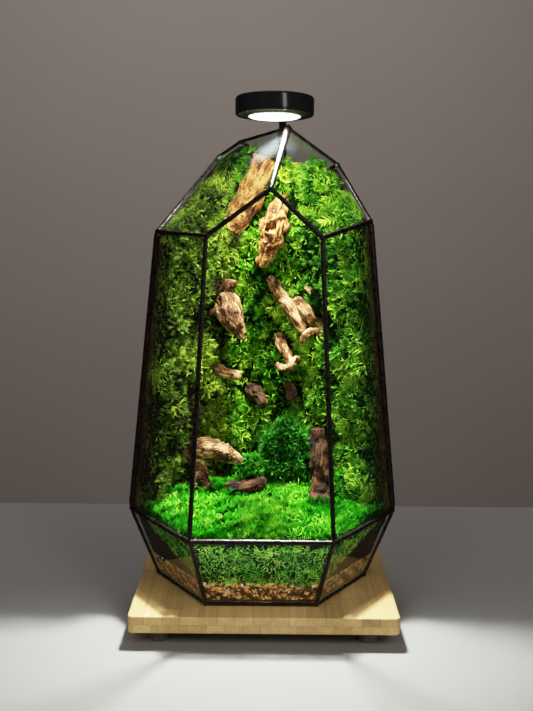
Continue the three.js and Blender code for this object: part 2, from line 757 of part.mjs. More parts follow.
// A feathery frond: one thin arched blade whose edge is cut into leaflets.
function frond(root, direction, side, length, spread, grow) {
  const stem = 0.9 + 2 * grow;
  const leaflet = spread + 2 * grow;
  const half = [
    [stem, -grow],
    [leaflet * 0.8, length * 0.5 + grow],
    [stem, length * 0.45 + grow],
    [leaflet * 0.75, length * 0.86 + grow],
    [stem * 0.8, length * 0.76 + grow],
  ];
  const outline = [
    ...half.map(([x, y]) => new THREE.Vector2(x, y)),
    new THREE.Vector2(0, length + 3 * grow),
    ...half.map(([x, y]) => new THREE.Vector2(-x, y * 0.94)).reverse(),
  ];
  const thickness = 0.9 + 2 * grow;
  const shape = new THREE.Shape(outline);
  const blade = new THREE.ExtrudeGeometry(shape, { depth: thickness, bevelEnabled: false });
  blade.translate(0, 0, -thickness / 2);
  const position = blade.attributes.position;
  for (let i = 0; i < position.count; i += 1) {
    const y = position.getY(i);
    position.setZ(i, position.getZ(i) - (0.25 * y * Math.abs(y)) / length);
  }
  const normal = new THREE.Vector3().crossVectors(side, direction).normalize();
  const across = new THREE.Vector3().crossVectors(direction, normal);
  const matrix = new THREE.Matrix4().makeBasis(across, direction, normal).setPosition(root);
  return solidOf(blade, matrix);
}

// A cushion of moss: a lumpy dome with short sprigs all over it.
function cushion({ middle, radii, sprigs, seed, grow }) {
  const draw = seeded(seed);
  const shape = (u, v) => {
    const lump = 1 + 0.12 * Math.sin(2 * u + 3 * v + seed) + 0.07 * Math.cos(5 * u + 4 * v);
    const out = Math.sin(v);
    return new THREE.Vector3(
      middle.x + (radii.x * lump + grow) * out * Math.cos(u),
      middle.y + (radii.y * lump + grow) * out * Math.sin(u),
      middle.z + (radii.z * lump + grow) * Math.cos(v),
    );
  };
  const rows = [1, 2, 3, 4, 5].map((k) =>
    Array.from({ length: 10 }, (_, i) => shape((2 * Math.PI * i) / 10, (Math.PI * k) / 6)),
  );
  const core = solidOf(loft(shape(0, 0), rows, shape(0, Math.PI)));
  const tips = Array.from({ length: sprigs }, () => {
    const u = between(draw, 0, 2 * Math.PI);
    const v = Math.acos(between(draw, -0.2, 1));
    const root = shape(u, v);
    const out = root.clone().sub(middle).normalize();
    root.addScaledVector(out, -3 - grow);
    out.x += between(draw, -0.35, 0.35);
    out.z += between(draw, 0, 0.5);
    return sprig(root, out.normalize(), between(draw, 8, 11), grow);
  });
  return joinAll([core, ...tips]);
}

// A piece of driftwood: rough rings along a path, wider one way than the other.
function branch({ path, radii, flat, facing, rough, seed, sides = 8, steps = 7, grow }) {
  const draw = seeded(seed);
  const curve = new THREE.CatmullRomCurve3(path.map((point) => v3(...point)));
  const wideWay = v3(...facing);
  const ringsOut = [];
  for (let k = 0; k <= steps; k += 1) {
    const t = k / steps;
    const middle = curve.getPointAt(t);
    const along = curve.getTangentAt(t);
    const reach = t * (radii.length - 1);
    const low = Math.min(Math.floor(reach), radii.length - 2);
    const radius = THREE.MathUtils.lerp(radii[low], radii[low + 1], reach - low);
    const wide = wideWay.clone().addScaledVector(along, -along.dot(wideWay)).normalize();
    const thin = new THREE.Vector3().crossVectors(wide, along);
    ringsOut.push(
      Array.from({ length: sides }, (_, i) => {
        const angle = (2 * Math.PI * i) / sides;
        const size = radius * (1 + between(draw, -rough, rough)) + grow;
        return middle
          .clone()
          .addScaledVector(wide, size * Math.cos(angle) * flat)
          .addScaledVector(thin, size * Math.sin(angle));
      }),
    );
  }
  const endOut = (t, sign) => {
    const bulge = radii[t * (radii.length - 1)] * 0.4 + grow;
    return curve.getPointAt(t).addScaledVector(curve.getTangentAt(t), sign * bulge);
  };
  return solidOf(loft(endOut(0, -1), ringsOut, endOut(1, 1)));
}

// A rounded hollow to cut into the wood.
function scoop([x, y, z], [rx, ry, rz], grow) {
  const round = new THREE.IcosahedronGeometry(1, 1);
  const matrix = new THREE.Matrix4().makeTranslation(x, y, z);
  return solidOf(round, matrix.scale(new THREE.Vector3(rx - grow, ry - grow, rz - grow)));
}

// ---------------------------------------------------------------- planting: pieces

const driftwood = {
  bark_slab: (grow) =>
    branch({
      path: [[2, 60, 499], [-17, 66, 458], [-41, 72, 414]],
      radii: [9, 10, 8],
      flat: 1.75,
      facing: [0.9, 0.1, -0.42],
      rough: 0.12,
      seed: 11,
      grow,
    }),
  knobbly_root: (grow) =>
    joinAll([
      branch({
        path: [[23, 72, 456], [15, 58, 436], [9, 53, 416], [7, 53, 394], [-4, 56, 373]],
        radii: [5, 12, 16, 12, 7],
        flat: 1,
        facing: [1, 0, 0],
        rough: 0.22,
        seed: 12,
        steps: 9,
        grow,
      }),
      branch({
        path: [[14, 56, 434], [24, 50, 426], [28, 49, 412]],
        radii: [7, 6, 3],
        flat: 1,
        facing: [0, 1, 0],
        rough: 0.2,
        seed: 13,
        steps: 3,
        sides: 6,
        grow,
      }),
    ])
      .subtract(scoop([5, 36, 419], [9.5, 14, 8], grow))
      .subtract(scoop([21, 40, 404], [5, 10, 5], grow))
      .subtract(scoop([19, 44, 385], [5, 9, 4.5], grow)),
  left_chunk: (grow) =>
    joinAll([
      branch({
        path: [[-47, 76, 340], [-46, 58, 322], [-38, 52, 304], [-24, 46, 282]],
        radii: [7, 17, 14, 3],
        flat: 1,
        facing: [1, -0.3, 0.2],
        rough: 0.2,
        seed: 14,
        grow,
      }),
      branch({
        path: [[-46, 56, 318], [-57, 50, 317], [-67, 47, 313]],
        radii: [9, 7, 2.5],
        flat: 1,
        facing: [0, 0, 1],
        rough: 0.15,
        seed: 15,
        steps: 3,
        sides: 6,
        grow,
      }),
      branch({
        path: [[-61, 66, 340], [-48, 62, 347], [-35, 66, 348]],
        radii: [5, 7, 5],
        flat: 1,
        facing: [0, 0, 1],
        rough: 0.2,
        seed: 37,
        steps: 4,
        sides: 6,
        grow,
      }),
    ]).subtract(scoop([-29, 36, 314], [9, 9, 13], grow)),
  right_chunk: (grow) =>
    joinAll([
      branch({
        path: [[6, 84, 354], [22, 66, 332], [36, 56, 312], [50, 52, 292]],
        radii: [6, 7, 6.5, 5],
        flat: 1.1,
        facing: [0.7, 0, 0.7],
        rough: 0.14,
        seed: 16,
        steps: 6,
        grow,
      }),
      branch({
        path: [[40, 66, 330], [47, 56, 321], [57, 52, 310], [66, 54, 298]],
        radii: [6, 8, 7.5, 7],
        flat: 1,
        facing: [0.7, 0, 0.7],
        rough: 0.2,
        seed: 38,
        steps: 5,
        sides: 6,
        grow,
      }),
      branch({
        path: [[51, 70, 343], [63, 64, 336], [69, 68, 316], [76, 64, 296], [88, 64, 270]],
        radii: [3.5, 6.5, 12, 13, 9],
        flat: 1,
        facing: [0.7, 0, 0.7],
        rough: 0.16,
        seed: 39,
        steps: 8,
        grow,
      }),
      branch({
        path: [[78, 54, 290], [64, 43, 292], [52, 38, 290], [46, 38, 279]],
        radii: [6, 6, 5.5, 3.5],
        flat: 1,
        facing: [0, 0, 1],
        rough: 0.15,
        seed: 17,
        steps: 5,
        sides: 6,
        grow,
      }),
    ]).subtract(scoop([55, 38, 306], [6, 13, 9], grow)),
  forked_piece: (grow) =>
    joinAll([
      branch({
        path: [[18, 92, 280], [26, 66, 266], [34, 52, 252]],
        radii: [8, 7, 6],
        flat: 1,
        facing: [1, 0, 0],
        rough: 0.2,
        seed: 18,
        steps: 5,
        grow,
      }),
      branch({
        path: [[16, 60, 248], [28, 48, 244], [42, 48, 260]],
        radii: [4, 6, 3],
        flat: 1,
        facing: [0, 1, 0],
        rough: 0.15,
        seed: 19,
        steps: 5,
        sides: 6,
        grow,
      }),
    ]),
  split_stick: (grow) =>
    branch({
      path: [[-66, 84, 242], [-52, 60, 240], [-29, 42, 236]],
      radii: [5, 5.5, 4],
      flat: 1.3,
      facing: [0, 0.4, 1],
      rough: 0.12,
      seed: 20,
      steps: 5,
      grow,
    }),
  dark_stub_left: (grow) =>
    branch({
      path: [[-18, 96, 212], [-6, 76, 206], [0, 62, 196]],
      radii: [8, 9, 6],
      flat: 1.2,
      facing: [0, 0, 1],
      rough: 0.2,
      seed: 21,
      steps: 4,
      grow,
    }),
  dark_stub_right: (grow) =>
    branch({
      path: [[30, 98, 216], [34, 78, 212], [36, 64, 206]],
      radii: [7, 8, 6],
      flat: 1,
      facing: [0, 0, 1],
      rough: 0.2,
      seed: 22,
      steps: 4,
      grow,
    }),
  hollow_root_left: (grow) =>
    joinAll([
      branch({
        path: [[-92, 50, 136], [-72, 32, 146], [-48, 14, 146], [-24, 2, 138]],
        radii: [12, 15, 13, 3],
        flat: 1.1,
        facing: [0.2, -0.6, 0.8],
        rough: 0.18,
        seed: 23,
        grow,
      }),
      branch({
        path: [[-80, 34, 138], [-74, 22, 118], [-66, 16, 104]],
        radii: [10, 7, 5],
        flat: 1,
        facing: [1, 0, 0],
        rough: 0.2,
        seed: 24,
        steps: 5,
        grow,
      }),
      branch({
        path: [[-76, 26, 122], [-84, 14, 110], [-80, 8, 102]],
        radii: [6, 5, 4],
        flat: 1,
        facing: [1, 0, 0],
        rough: 0.2,
        seed: 25,
        steps: 3,
        sides: 6,
        grow,
      }),
    ]).subtract(scoop([-52, 8, 130], [16, 14, 8], grow)),
  low_log: (grow) =>
    branch({
      path: [[-42, 40, 96], [-20, 30, 99], [2, 30, 107]],
      radii: [9, 10, 8],
      flat: 1,
      facing: [0, 0, 1],
      rough: 0.14,
      seed: 26,
      steps: 5,
      grow,
    }),
  hollow_stump: (grow) =>
    joinAll([
      branch({
        path: [[68, 36, 172], [70, 30, 140], [74, 26, 112], [72, 24, 84]],
        radii: [9, 12, 14, 17],
        flat: 1,
        facing: [1, 0, 0],
        rough: 0.16,
        seed: 27,
        steps: 8,
        grow,
      }),
      branch({
        path: [[80, 12, 90], [66, 4, 92], [54, 10, 96]],
        radii: [6, 6, 4],
        flat: 1,
        facing: [0, 0, 1],
        rough: 0.15,
        seed: 28,
        steps: 4,
        sides: 6,
        grow,
      }),
    ])
      .subtract(scoop([70, 10, 118], [8, 12, 17], grow))
      .subtract(scoop([66, 18, 160], [5, 9, 7], grow)),
};

function gravelBed(grow) {
  const pebble = (angle, z) => {
    const row = Math.floor(z / 8);
    const wave = Math.sin(radians(angle * 12 + row * 90));
    return CLEAR_OF_CAME + 0.4 + 1.8 * Math.abs(wave);
  };
  return layer({
    columns: 48,
    rings: 2,
    sideRows: 3,
    bottom: GLASS_THICK / 2 + GAP,
    topAt: () => GRAVEL_TOP,
    depthAt: pebble,
    grow,
  });
}

function soilBed(grow) {
  return layer({
    columns: 12,
    rings: 3,
    sideRows: 1,
    bottom: GRAVEL_TOP + GAP,
    topAt: soilTop,
    depthAt: () => CLEAR_OF_CAME + 0.4,
    grow,
  });
}

function backingBoard(grow) {
  return lining({
    from: -BACKING_WRAP,
    to: 180 + BACKING_WRAP,
    columns: 32,
    rows: 2,
    bottomAt: () => MID_Z,
    topAt: (angle) => underRoof(angle, CLEAR_OF_CAME, BACKING_SET_BACK),
    outerAt: () => CLEAR_OF_CAME + 0.4,
    innerAt: () => BACKING_DEPTH,
    grow,
  });
}

// Moss pressed behind the lower front panes: it thins out towards the left and right corners.
function frontMoss({ columns, rows, relief, grow }) {
  const foot = (angle) => {
    const aside = Math.max(0, Math.abs(angle - 270) - 30);
    return GRAVEL_TOP + 2 + 0.95 * aside;
  };
  const curl = (angle, z) => Math.sin(angle * 0.9 + z / 3) * Math.cos(z / 4 - angle / 3);
  return lining({
    from: 192,
    to: 348,
    columns,
    rows,
    bottomAt: foot,
    topAt: () => MID_Z - 1,
    outerAt: (angle, z) => CLEAR_OF_CAME + relief * (1.4 + 1.2 * curl(angle, z)),
    innerAt: () => 12,
    grow,
  });
}

// Sheet moss on one wall: every other point of its face is the tip of a spray. On the side where the next
// pane shows, the moss is pressed round the corner and against that pane.
function wallMoss({ from, to, wrapped, fronds, seed, grow }) {
  const columns = 8;
  const rows = 21;
  const growDegrees = 0.4 * grow;
  const atEnds = (k, last) => (k === last) - (k === 0);
  const bottom = MID_Z + 6;
  const topAt = (angle) => underRoof(angle, BACKING_DEPTH, MOSS_SET_BACK);
  const cell = { angle: (to - from) / columns, z: (LEFT_TOP_Z - bottom) / rows };
  const front = (i, j) => {
    const inside = i > 0 && i < columns && j > 0 && j < rows;
    const tip = (i + j) % 2;
    const shift = inside ? 0.9 * tip : 0;
    const across = THREE.MathUtils.lerp(to, from, i / columns);
    const height = THREE.MathUtils.lerp(bottom, topAt(across), j / rows) + atEnds(j, rows) * grow;
    if (i === wrapped * columns) {
      const pressed = across - atEnds(i, columns) * (MOSS_WRAP + growDegrees);
      return polar(pressed, wallDistance(pressed, height, -1), height);
    }
    const angle = across - atEnds(i, columns) * growDegrees + shift * scatter(i, j, seed) * cell.angle;
    const z = height + shift * (scatter(i, j, seed + 1) - 0.2) * cell.z;
    const out = tip * (TIP_OUT + 9 * scatter(i, j, seed + 2));
    return polar(angle, wallDistance(angle, z, MOSS_DEPTH + swell(across, height) + out + grow), z);
  };
  const back = (side, j) => {
    const z = THREE.MathUtils.lerp(bottom, topAt(side ? from : to), j / rows) + atEnds(j, rows) * grow;
    if (side === wrapped) {
      const pastBacking = (side ? from : to) + (1 - 2 * side) * (BACKING_WRAP + 1.4);
      return polar(pastBacking, wallDistance(pastBacking, z, -1), z);
    }
    const angle = (side ? from : to) + (1 - 2 * side) * growDegrees;
    return polar(angle, wallDistance(angle, z, BACKING_DEPTH + GAP - grow), z);
  };
  const sheet = solidOf(reliefBlock(columns, rows, front, back));
  return joinAll([sheet, ...wallFronds({ from, to, fronds, bottom, topAt, seed, grow })]);
}

function wallFronds({ from, to, fronds, bottom, topAt, seed, grow }) {
  const draw = seeded(seed);
  const inward = polar((from + to) / 2 + 180, 1, 0);
  return Array.from({ length: fronds }, (_, i) => {
    const angle = between(draw, from + 6, to - 6);
    const z = THREE.MathUtils.lerp(bottom + 20, topAt(angle) - 10, (i + draw()) / fronds);
    const root = polar(angle, wallDistance(angle, z, MOSS_DEPTH + swell(angle, z) - 2), z);
    const sideways = perpendicular(inward);
    const direction = inward
      .clone()
      .addScaledVector(sideways, between(draw, -0.8, 0.8))
      .add(v3(0, 0, between(draw, -0.8, 0.5)))
      .normalize();
    const side = sideways.add(v3(0, 0, between(draw, -1, 1))).normalize();
    return frond(root, direction, side, between(draw, 22, 28), between(draw, 7, 10), grow);
  });
}

// A patch of low moss over the soil, between two wavy lines: every other point is the tip of a tuft.
function carpet({ left, right, columns, seed, grow }) {
  const rows = 14;
  const near = -MID_RADIUS * APOTHEM - 2;
  const far = 62;
  const edgeX = (x, y) => (Math.abs(x) > MID_RADIUS ? x : x + 6 * Math.sin(y / 16));
  const spot = (u, v) => {
    const y = THREE.MathUtils.lerp(near - grow, far + grow, v);
    const x = THREE.MathUtils.lerp(edgeX(left, y) - grow, edgeX(right, y) + grow, u);
    return v3(x, y, 0);
  };
  const front = (i, j) => {
    const place = spot(i / columns, j / rows);
    const tip = (i + j) % 2;
    const inside = i > 0 && i < columns && j > 0 && j < rows;
    place.z = carpetTop(place.x, place.y) + tip * (TUFT_HEIGHT + 3 * scatter(i, j, seed)) + grow;
    if (inside && tip) {
      place.x += 7 * scatter(i, j, seed + 1);
      place.y += 7 * scatter(i, j, seed + 2);
    }
    return place;
  };
  const back = (side, j) => {
    const place = spot(side, j / rows);
    place.z = SOIL_FRONT_Z - 12;
    return place;
  };
  return solidOf(reliefBlock(columns, rows, front, back));
}

function addPlanting(jar) {
  const room = insideJar(CLEAR_OF_CAME, GLASS_THICK / 2 + GAP);
  const settled = [];
  // Each piece is cut clear of the pieces that were settled before it.
  const settle = (name, shape, material, space = shape) => {
    let solid = shape(0).intersect(room);
    settled.forEach((other) => {
      solid = solid.subtract(other);
    });
    jar.add(meshOf(name, mainBody(solid), material));
    settled.push(space(GAP));
  };
  settle("fern_backing", backingBoard, fibre);
  Object.entries(driftwood).forEach(([name, shape]) => settle(`wood_${name}`, shape, wood));
  settle("gravel", gravelBed, gravelStone);
  const curled = (grow) => frontMoss({ columns: 26, rows: 4, relief: 1, grow });
  const flatSpace = (grow) => frontMoss({ columns: 13, rows: 1, relief: 0, grow: 2.5 * grow });
  settle("moss_front", curled, brightMoss, flatSpace);
  settle("soil", soilBed, earth);
  const big = { middle: v3(31, 58, 134), radii: v3(33, 26, 44), sprigs: 34, seed: 41 };
  const low = { middle: v3(-15, 44, 121), radii: v3(16, 15, 15), sprigs: 12, seed: 42 };
  const side = { middle: v3(104, 4, 104), radii: v3(19, 17, 21), sprigs: 14, seed: 43 };
  settle("moss_mound", (grow) => cushion({ ...big, grow }), deepMoss);
  settle("moss_cushion", (grow) => cushion({ ...low, grow }), brightMoss);
  settle("moss_cushion_right", (grow) => cushion({ ...side, grow }), yellowMoss);
  const leftPatch = { left: -165, right: -31, columns: 8, seed: 51 };
  const middlePatch = { left: -30.4, right: 37.4, columns: 5, seed: 52 };
  const rightPatch = { left: 38, right: 165, columns: 8, seed: 53 };
  settle("moss_carpet_left", (grow) => carpet({ ...leftPatch, grow }), brightMoss);
  settle("moss_carpet_middle", (grow) => carpet({ ...middlePatch, grow }), yellowMoss);
  settle("moss_carpet_right", (grow) => carpet({ ...rightPatch, grow }), brightMoss);
  const leftWall = { from: 120.4, to: 179.6, wrapped: 0, fronds: 3, seed: 61 };
  const backWall = { from: 60.4, to: 119.6, wrapped: null, fronds: 3, seed: 62 };
  const rightWall = { from: 0.4, to: 59.6, wrapped: 1, fronds: 3, seed: 63 };
  settle("moss_wall_back", (grow) => wallMoss({ ...backWall, grow }), brightMoss);
  settle("moss_wall_left", (grow) => wallMoss({ ...leftWall, grow }), oliveMoss);
  settle("moss_wall_right", (grow) => wallMoss({ ...rightWall, grow }), deepMoss);
}

// ---------------------------------------------------------------- the whole

const terrarium = new THREE.Group();
addBoard(terrarium);
addFeet(terrarium);

const jar = new THREE.Group();
jar.position.set(0, AXIS_Y, FOOT_HEIGHT + BOARD_THICK + CAME_RADIUS + GAP);
terrarium.add(jar);
addPanes(jar);
addCame(jar);
addLamp(jar);
addPlanting(jar);

export default terrarium;
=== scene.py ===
# %% [markdown]
# # A planted glass jar on a bamboo board, under a lamp
#
# The jar is made of flat panes soldered along their edges. Sheet moss lines its back walls, driftwood is
# pushed into the moss, low moss covers the soil, and gravel shows at the foot of the panes.
# The solid model is loaded first. Everything below is built in its frame, in metres, and either dresses one
# of its nodes or takes a node's place.

import json
import math

import bmesh
import bpy
import numpy as np
from mathutils import Matrix, Vector, noise
from mathutils.bvhtree import BVHTree

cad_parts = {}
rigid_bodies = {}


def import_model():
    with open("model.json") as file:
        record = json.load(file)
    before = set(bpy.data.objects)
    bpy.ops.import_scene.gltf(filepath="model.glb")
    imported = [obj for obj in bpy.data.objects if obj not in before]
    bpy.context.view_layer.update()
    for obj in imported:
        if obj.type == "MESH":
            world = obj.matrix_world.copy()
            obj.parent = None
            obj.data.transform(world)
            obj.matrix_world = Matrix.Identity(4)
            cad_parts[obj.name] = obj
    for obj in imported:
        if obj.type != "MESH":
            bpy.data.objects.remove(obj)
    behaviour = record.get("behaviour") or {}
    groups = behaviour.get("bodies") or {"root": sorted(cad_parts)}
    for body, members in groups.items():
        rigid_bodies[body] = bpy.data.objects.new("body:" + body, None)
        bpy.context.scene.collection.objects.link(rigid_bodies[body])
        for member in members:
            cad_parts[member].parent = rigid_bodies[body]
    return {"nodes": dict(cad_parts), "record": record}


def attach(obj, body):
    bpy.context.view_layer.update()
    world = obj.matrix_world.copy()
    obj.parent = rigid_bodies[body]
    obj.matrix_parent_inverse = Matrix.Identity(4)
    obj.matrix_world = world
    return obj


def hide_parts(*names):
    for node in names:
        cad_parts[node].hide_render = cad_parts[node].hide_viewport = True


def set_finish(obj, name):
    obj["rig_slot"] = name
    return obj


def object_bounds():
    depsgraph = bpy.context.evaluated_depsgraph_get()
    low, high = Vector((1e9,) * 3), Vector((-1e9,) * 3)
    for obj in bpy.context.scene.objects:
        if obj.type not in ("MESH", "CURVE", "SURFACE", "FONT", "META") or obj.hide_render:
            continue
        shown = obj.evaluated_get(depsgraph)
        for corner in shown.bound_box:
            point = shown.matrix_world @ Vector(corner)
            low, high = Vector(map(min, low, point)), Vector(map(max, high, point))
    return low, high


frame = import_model()
cad_box = [list(corner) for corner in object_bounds()]
MM = 0.001
JAR_AXIS_Y = -4.9 * MM
print("the solid model's box:", cad_box)

# %% [markdown]
# ## Small helpers
#
# A node tree is easier to read when a node, its settings and what feeds it stand in one line, so `put` adds
# a node and wires it, and the functions after it add the kinds of node that every material needs. Each of
# them hands back the socket that the next node is fed from.

# %% Helpers for nodes
def feed(tree, node, inputs):
    """Wires the sockets and sets the plain values that are given for a node's inputs."""
    for key, value in inputs.items():
        if isinstance(value, bpy.types.NodeSocket):
            tree.links.new(value, node.inputs[key])
        else:
            node.inputs[key].default_value = value


def put(tree, kind, inputs=None, **settings):
    """Adds a node to a tree, with its settings, and feeds its inputs."""
    made = tree.nodes.new(kind)
    for key, value in settings.items():
        setattr(made, key, value)
    feed(tree, made, inputs or {})
    return made


def math_of(tree, operation, a, b=0.0, c=0.0):
    return put(tree, "ShaderNodeMath", {0: a, 1: b, 2: c}, operation=operation).outputs["Value"]


def noise_of(tree, vector, scale, detail):
    inputs = {"Vector": vector, "Scale": scale, "Detail": detail}
    return put(tree, "ShaderNodeTexNoise", inputs).outputs["Fac"]


def stretched_of(tree, vector, scale, detail, rotation=(0, 0, 0)):
    """Noise with a scale of its own along each axis; the larger the scale, the finer the noise."""
    inputs = {"Vector": vector, "Rotation": rotation, "Scale": scale}
    return noise_of(tree, put(tree, "ShaderNodeMapping", inputs).outputs["Vector"], 1.0, detail)


def attribute_of(tree, name, output="Fac"):
    return put(tree, "ShaderNodeAttribute", attribute_name=name).outputs[output]


def range_of(tree, value, from_min, from_max, to_min=0.0, to_max=1.0, **settings):
    """Carries a value over from one range to another."""
    ends = {"From Min": from_min, "From Max": from_max, "To Min": to_min, "To Max": to_max}
    return put(tree, "ShaderNodeMapRange", {"Value": value, **ends}, **settings).outputs["Result"]


def mix_of(tree, factor, a, b, blend="MIX"):
    """The mix of two colours, each a socket or a plain (r, g, b)."""
    a, b = (color if isinstance(color, bpy.types.NodeSocket) else (*color, 1) for color in (a, b))
    inputs = {"Factor": factor, "A": a, "B": b}
    return put(tree, "ShaderNodeMix", inputs, data_type="RGBA", blend_type=blend).outputs["Result"]


def ramp_of(tree, value, *stops, interpolation="LINEAR"):
    """A colour ramp with stops of (position, (r, g, b)), from the lowest to the highest."""
    node = put(tree, "ShaderNodeValToRGB", {"Fac": value})
    node.color_ramp.interpolation = interpolation
    elements = node.color_ramp.elements
    for element, (position, color) in zip(elements, (stops[0], stops[-1])):
        element.position, element.color = position, (*color, 1)
    for position, color in stops[1:-1]:
        elements.new(position).color = (*color, 1)
    return node.outputs["Color"]


def bump_of(tree, height, strength, distance):
    inputs = {"Height": height, "Strength": strength, "Distance": distance}
    return put(tree, "ShaderNodeBump", inputs).outputs["Normal"]


def new_material(name):
    """A new material, with its tree, its shader and a socket of the piece's own coordinates."""
    material = bpy.data.materials.new(name)
    material.use_nodes = True
    tree = material.node_tree
    place = put(tree, "ShaderNodeTexCoord").outputs["Object"]
    return material, tree, tree.nodes["Principled BSDF"], place


print("helpers for nodes are ready")

# %% [markdown]
# Meshes are built face by face and then kept as plain meshes. `keep_mesh` turns what the modifiers show into
# a plain mesh, because the finished pieces carry no live modifiers.

# %% Helpers for meshes
def add_object(name, mesh):
    made = bpy.data.objects.new(name, mesh)
    bpy.context.scene.collection.objects.link(made)
    return made


def mesh_from(skin, name):
    """A mesh from the faces built so far, which are used up."""
    mesh = bpy.data.meshes.new(name)
    skin.to_mesh(mesh)
    skin.free()
    return mesh


def keep_mesh(source, name):
    """A new object that holds what source shows now; source itself is removed."""
    graph = bpy.context.evaluated_depsgraph_get()
    mesh = bpy.data.meshes.new_from_object(source.evaluated_get(graph))
    mesh.name = name
    bpy.data.objects.remove(source)
    return add_object(name, mesh)


WELD = 0.002 * MM  # how near two corners of loose triangles lie when they are one


def rounded_copy(node_name, name, voxel, passes):
    """The node's form, rebuilt in even small faces and rounded a little."""
    skin = bmesh.new()
    skin.from_mesh(frame["nodes"][node_name].data)
    bmesh.ops.remove_doubles(skin, verts=skin.verts, dist=WELD)
    work = add_object(node_name + "_copy", mesh_from(skin, node_name + "_copy"))
    even = work.modifiers.new("even faces", "REMESH")
    even.mode = "VOXEL"
    even.voxel_size = voxel
    soft = work.modifiers.new("soften", "SMOOTH")
    soft.iterations = passes
    soft.factor = 0.5
    return keep_mesh(work, name)


def points_of(mesh):
    flat = np.empty(3 * len(mesh.vertices))
    mesh.vertices.foreach_get("co", flat)
    return flat.reshape(-1, 3)


def normals_of(mesh):
    return np.array([vertex.normal[:] for vertex in mesh.vertices])


def set_points(mesh, points):
    mesh.vertices.foreach_set("co", points.ravel())
    mesh.update()


def shade_smooth(piece):
    piece.data.polygons.foreach_set("use_smooth", [True] * len(piece.data.polygons))


def coat(piece, material):
    piece.data.materials.clear()
    piece.data.materials.append(material)


def finish_piece(piece, material, *nodes):
    """Gives a piece its material, lets it ride on the one body, and takes the named nodes' place."""
    coat(piece, material)
    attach(piece, "root")
    if nodes:
        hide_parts(*nodes)
        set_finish(piece, slots[nodes[0]])


slots = {row["node"]: row["material_slot"] for row in frame["record"]["subparts"]}
print(len(slots), "nodes in", len(set(slots.values())), "material slots")

# %% [markdown]
# ## The camera and the room
#
# The camera stands where the photograph was taken: a little above the table, looking slightly down, with a
# long lens. Its place was worked out from the corners of the jar and the board. The jar stands on a pale
# table in front of a grey wall.

# %% Camera
PHOTO_HEIGHT = 711  # pixels
FOCAL_PIXELS = 1143
SENSOR = 36
CAMERA_PLACE = Vector((3.67, -1352.2, 489.35)) * MM
PITCH = 0.135  # radians below the horizon
ROLL = -0.009

sight = Vector((0, math.cos(PITCH), -math.sin(PITCH)))
upward = Vector((0, math.sin(PITCH), math.cos(PITCH)))
rightward = Vector((1, 0, 0))
image_x = rightward * math.cos(ROLL) - upward * math.sin(ROLL)
image_y = rightward * math.sin(ROLL) + upward * math.cos(ROLL)

camera_data = bpy.data.cameras.new("camera")
camera_data.sensor_width = SENSOR
camera_data.lens = FOCAL_PIXELS * SENSOR / PHOTO_HEIGHT
camera = bpy.data.objects.new("camera", camera_data)
turn = Matrix((image_x, image_y, -sight)).transposed().to_4x4()
camera.matrix_world = Matrix.Translation(CAMERA_PLACE) @ turn
bpy.context.scene.collection.objects.link(camera)
bpy.context.scene.camera = camera
print("lens", round(camera_data.lens, 2), "mm")

# %% [markdown]
# The photograph keeps its greens very pure in strong light. The film-like transform that Blender starts with
# would bleach them, so colours are shown by the plain one, after a curve that bends the brightest values
# over gently, as the camera's own development did.

# %% Colour
BRIGHTEST = 4.0  # the scene's value that is shown as white
SHOULDER = [(0.0, 0.0), (0.2, 0.2), (0.4, 0.38), (0.7, 0.57), (1.1, 0.73), (1.8, 0.87), (BRIGHTEST, 1.0)]

look = bpy.context.scene.view_settings
look.view_transform = "Standard"
look.use_curve_mapping = True
look.curve_mapping.white_level = (BRIGHTEST, BRIGHTEST, BRIGHTEST)
shoulder = look.curve_mapping.curves[3]
for value, shown in SHOULDER[1:-1]:
    shoulder.points.new(value / BRIGHTEST, shown)
for point in shoulder.points:
    point.handle_type = "AUTO_CLAMPED"
look.curve_mapping.update()
print("colours:", look.view_transform, "with", len(shoulder.points), "points on the shoulder")

# %% [markdown]
# A surface close behind would hide the jar in the views from the back, so the table simply ends behind the
# jar, and the wall stands well beyond it. Mirrored in the panes, a pale table and wall would lay a grey veil
# over the dark planting, so their paint turns dark on a path of light that has been mirrored.

# %% Table and wall
MIRRORED_SHARE = 0.06  # of the paint's brightness, where it is seen in a mirror


def mirrored(tree):
    """1 on a light path that has been mirrored on its way, else 0."""
    return math_of(tree, "GREATER_THAN", put(tree, "ShaderNodeLightPath").outputs["Glossy Depth"], 0.5)


def matte(name, color, roughness, mottle):
    """A plain painted surface with a faint unevenness, which hardly shows in mirrors."""
    material, tree, skin, place = new_material(name)
    darker = [c * (1 - mottle) for c in color]
    painted = mix_of(tree, noise_of(tree, place, 3.0, 6.0), darker, color)
    unseen = [c * MIRRORED_SHARE for c in color]
    feed(tree, skin, {"Base Color": mix_of(tree, mirrored(tree), painted, unseen), "Roughness": roughness})
    return material


def stage_box(name, low, high, material):
    box = bmesh.new()
    bmesh.ops.create_cube(box, size=1)
    for vertex in box.verts:
        vertex.co = [a + (b - a) * (c + 0.5) for a, b, c in zip(low, high, vertex.co)]
    made = add_object(name, mesh_from(box, name))
    made.data.materials.append(material)


TABLE_BACK_Y = 0.45
table_paint = matte("table paint", (0.285, 0.278, 0.270), 0.5, 0.05)
wall_paint = matte("wall paint", (0.34, 0.295, 0.27), 0.9, 0.08)
stage_box("table", (-1.6, -1.9, -0.03), (1.6, TABLE_BACK_Y, 0.0), table_paint)
stage_box("wall", (-3.0, 2.4, -1.6), (3.0, 2.45, 2.6), wall_paint)
print("table and wall stand")

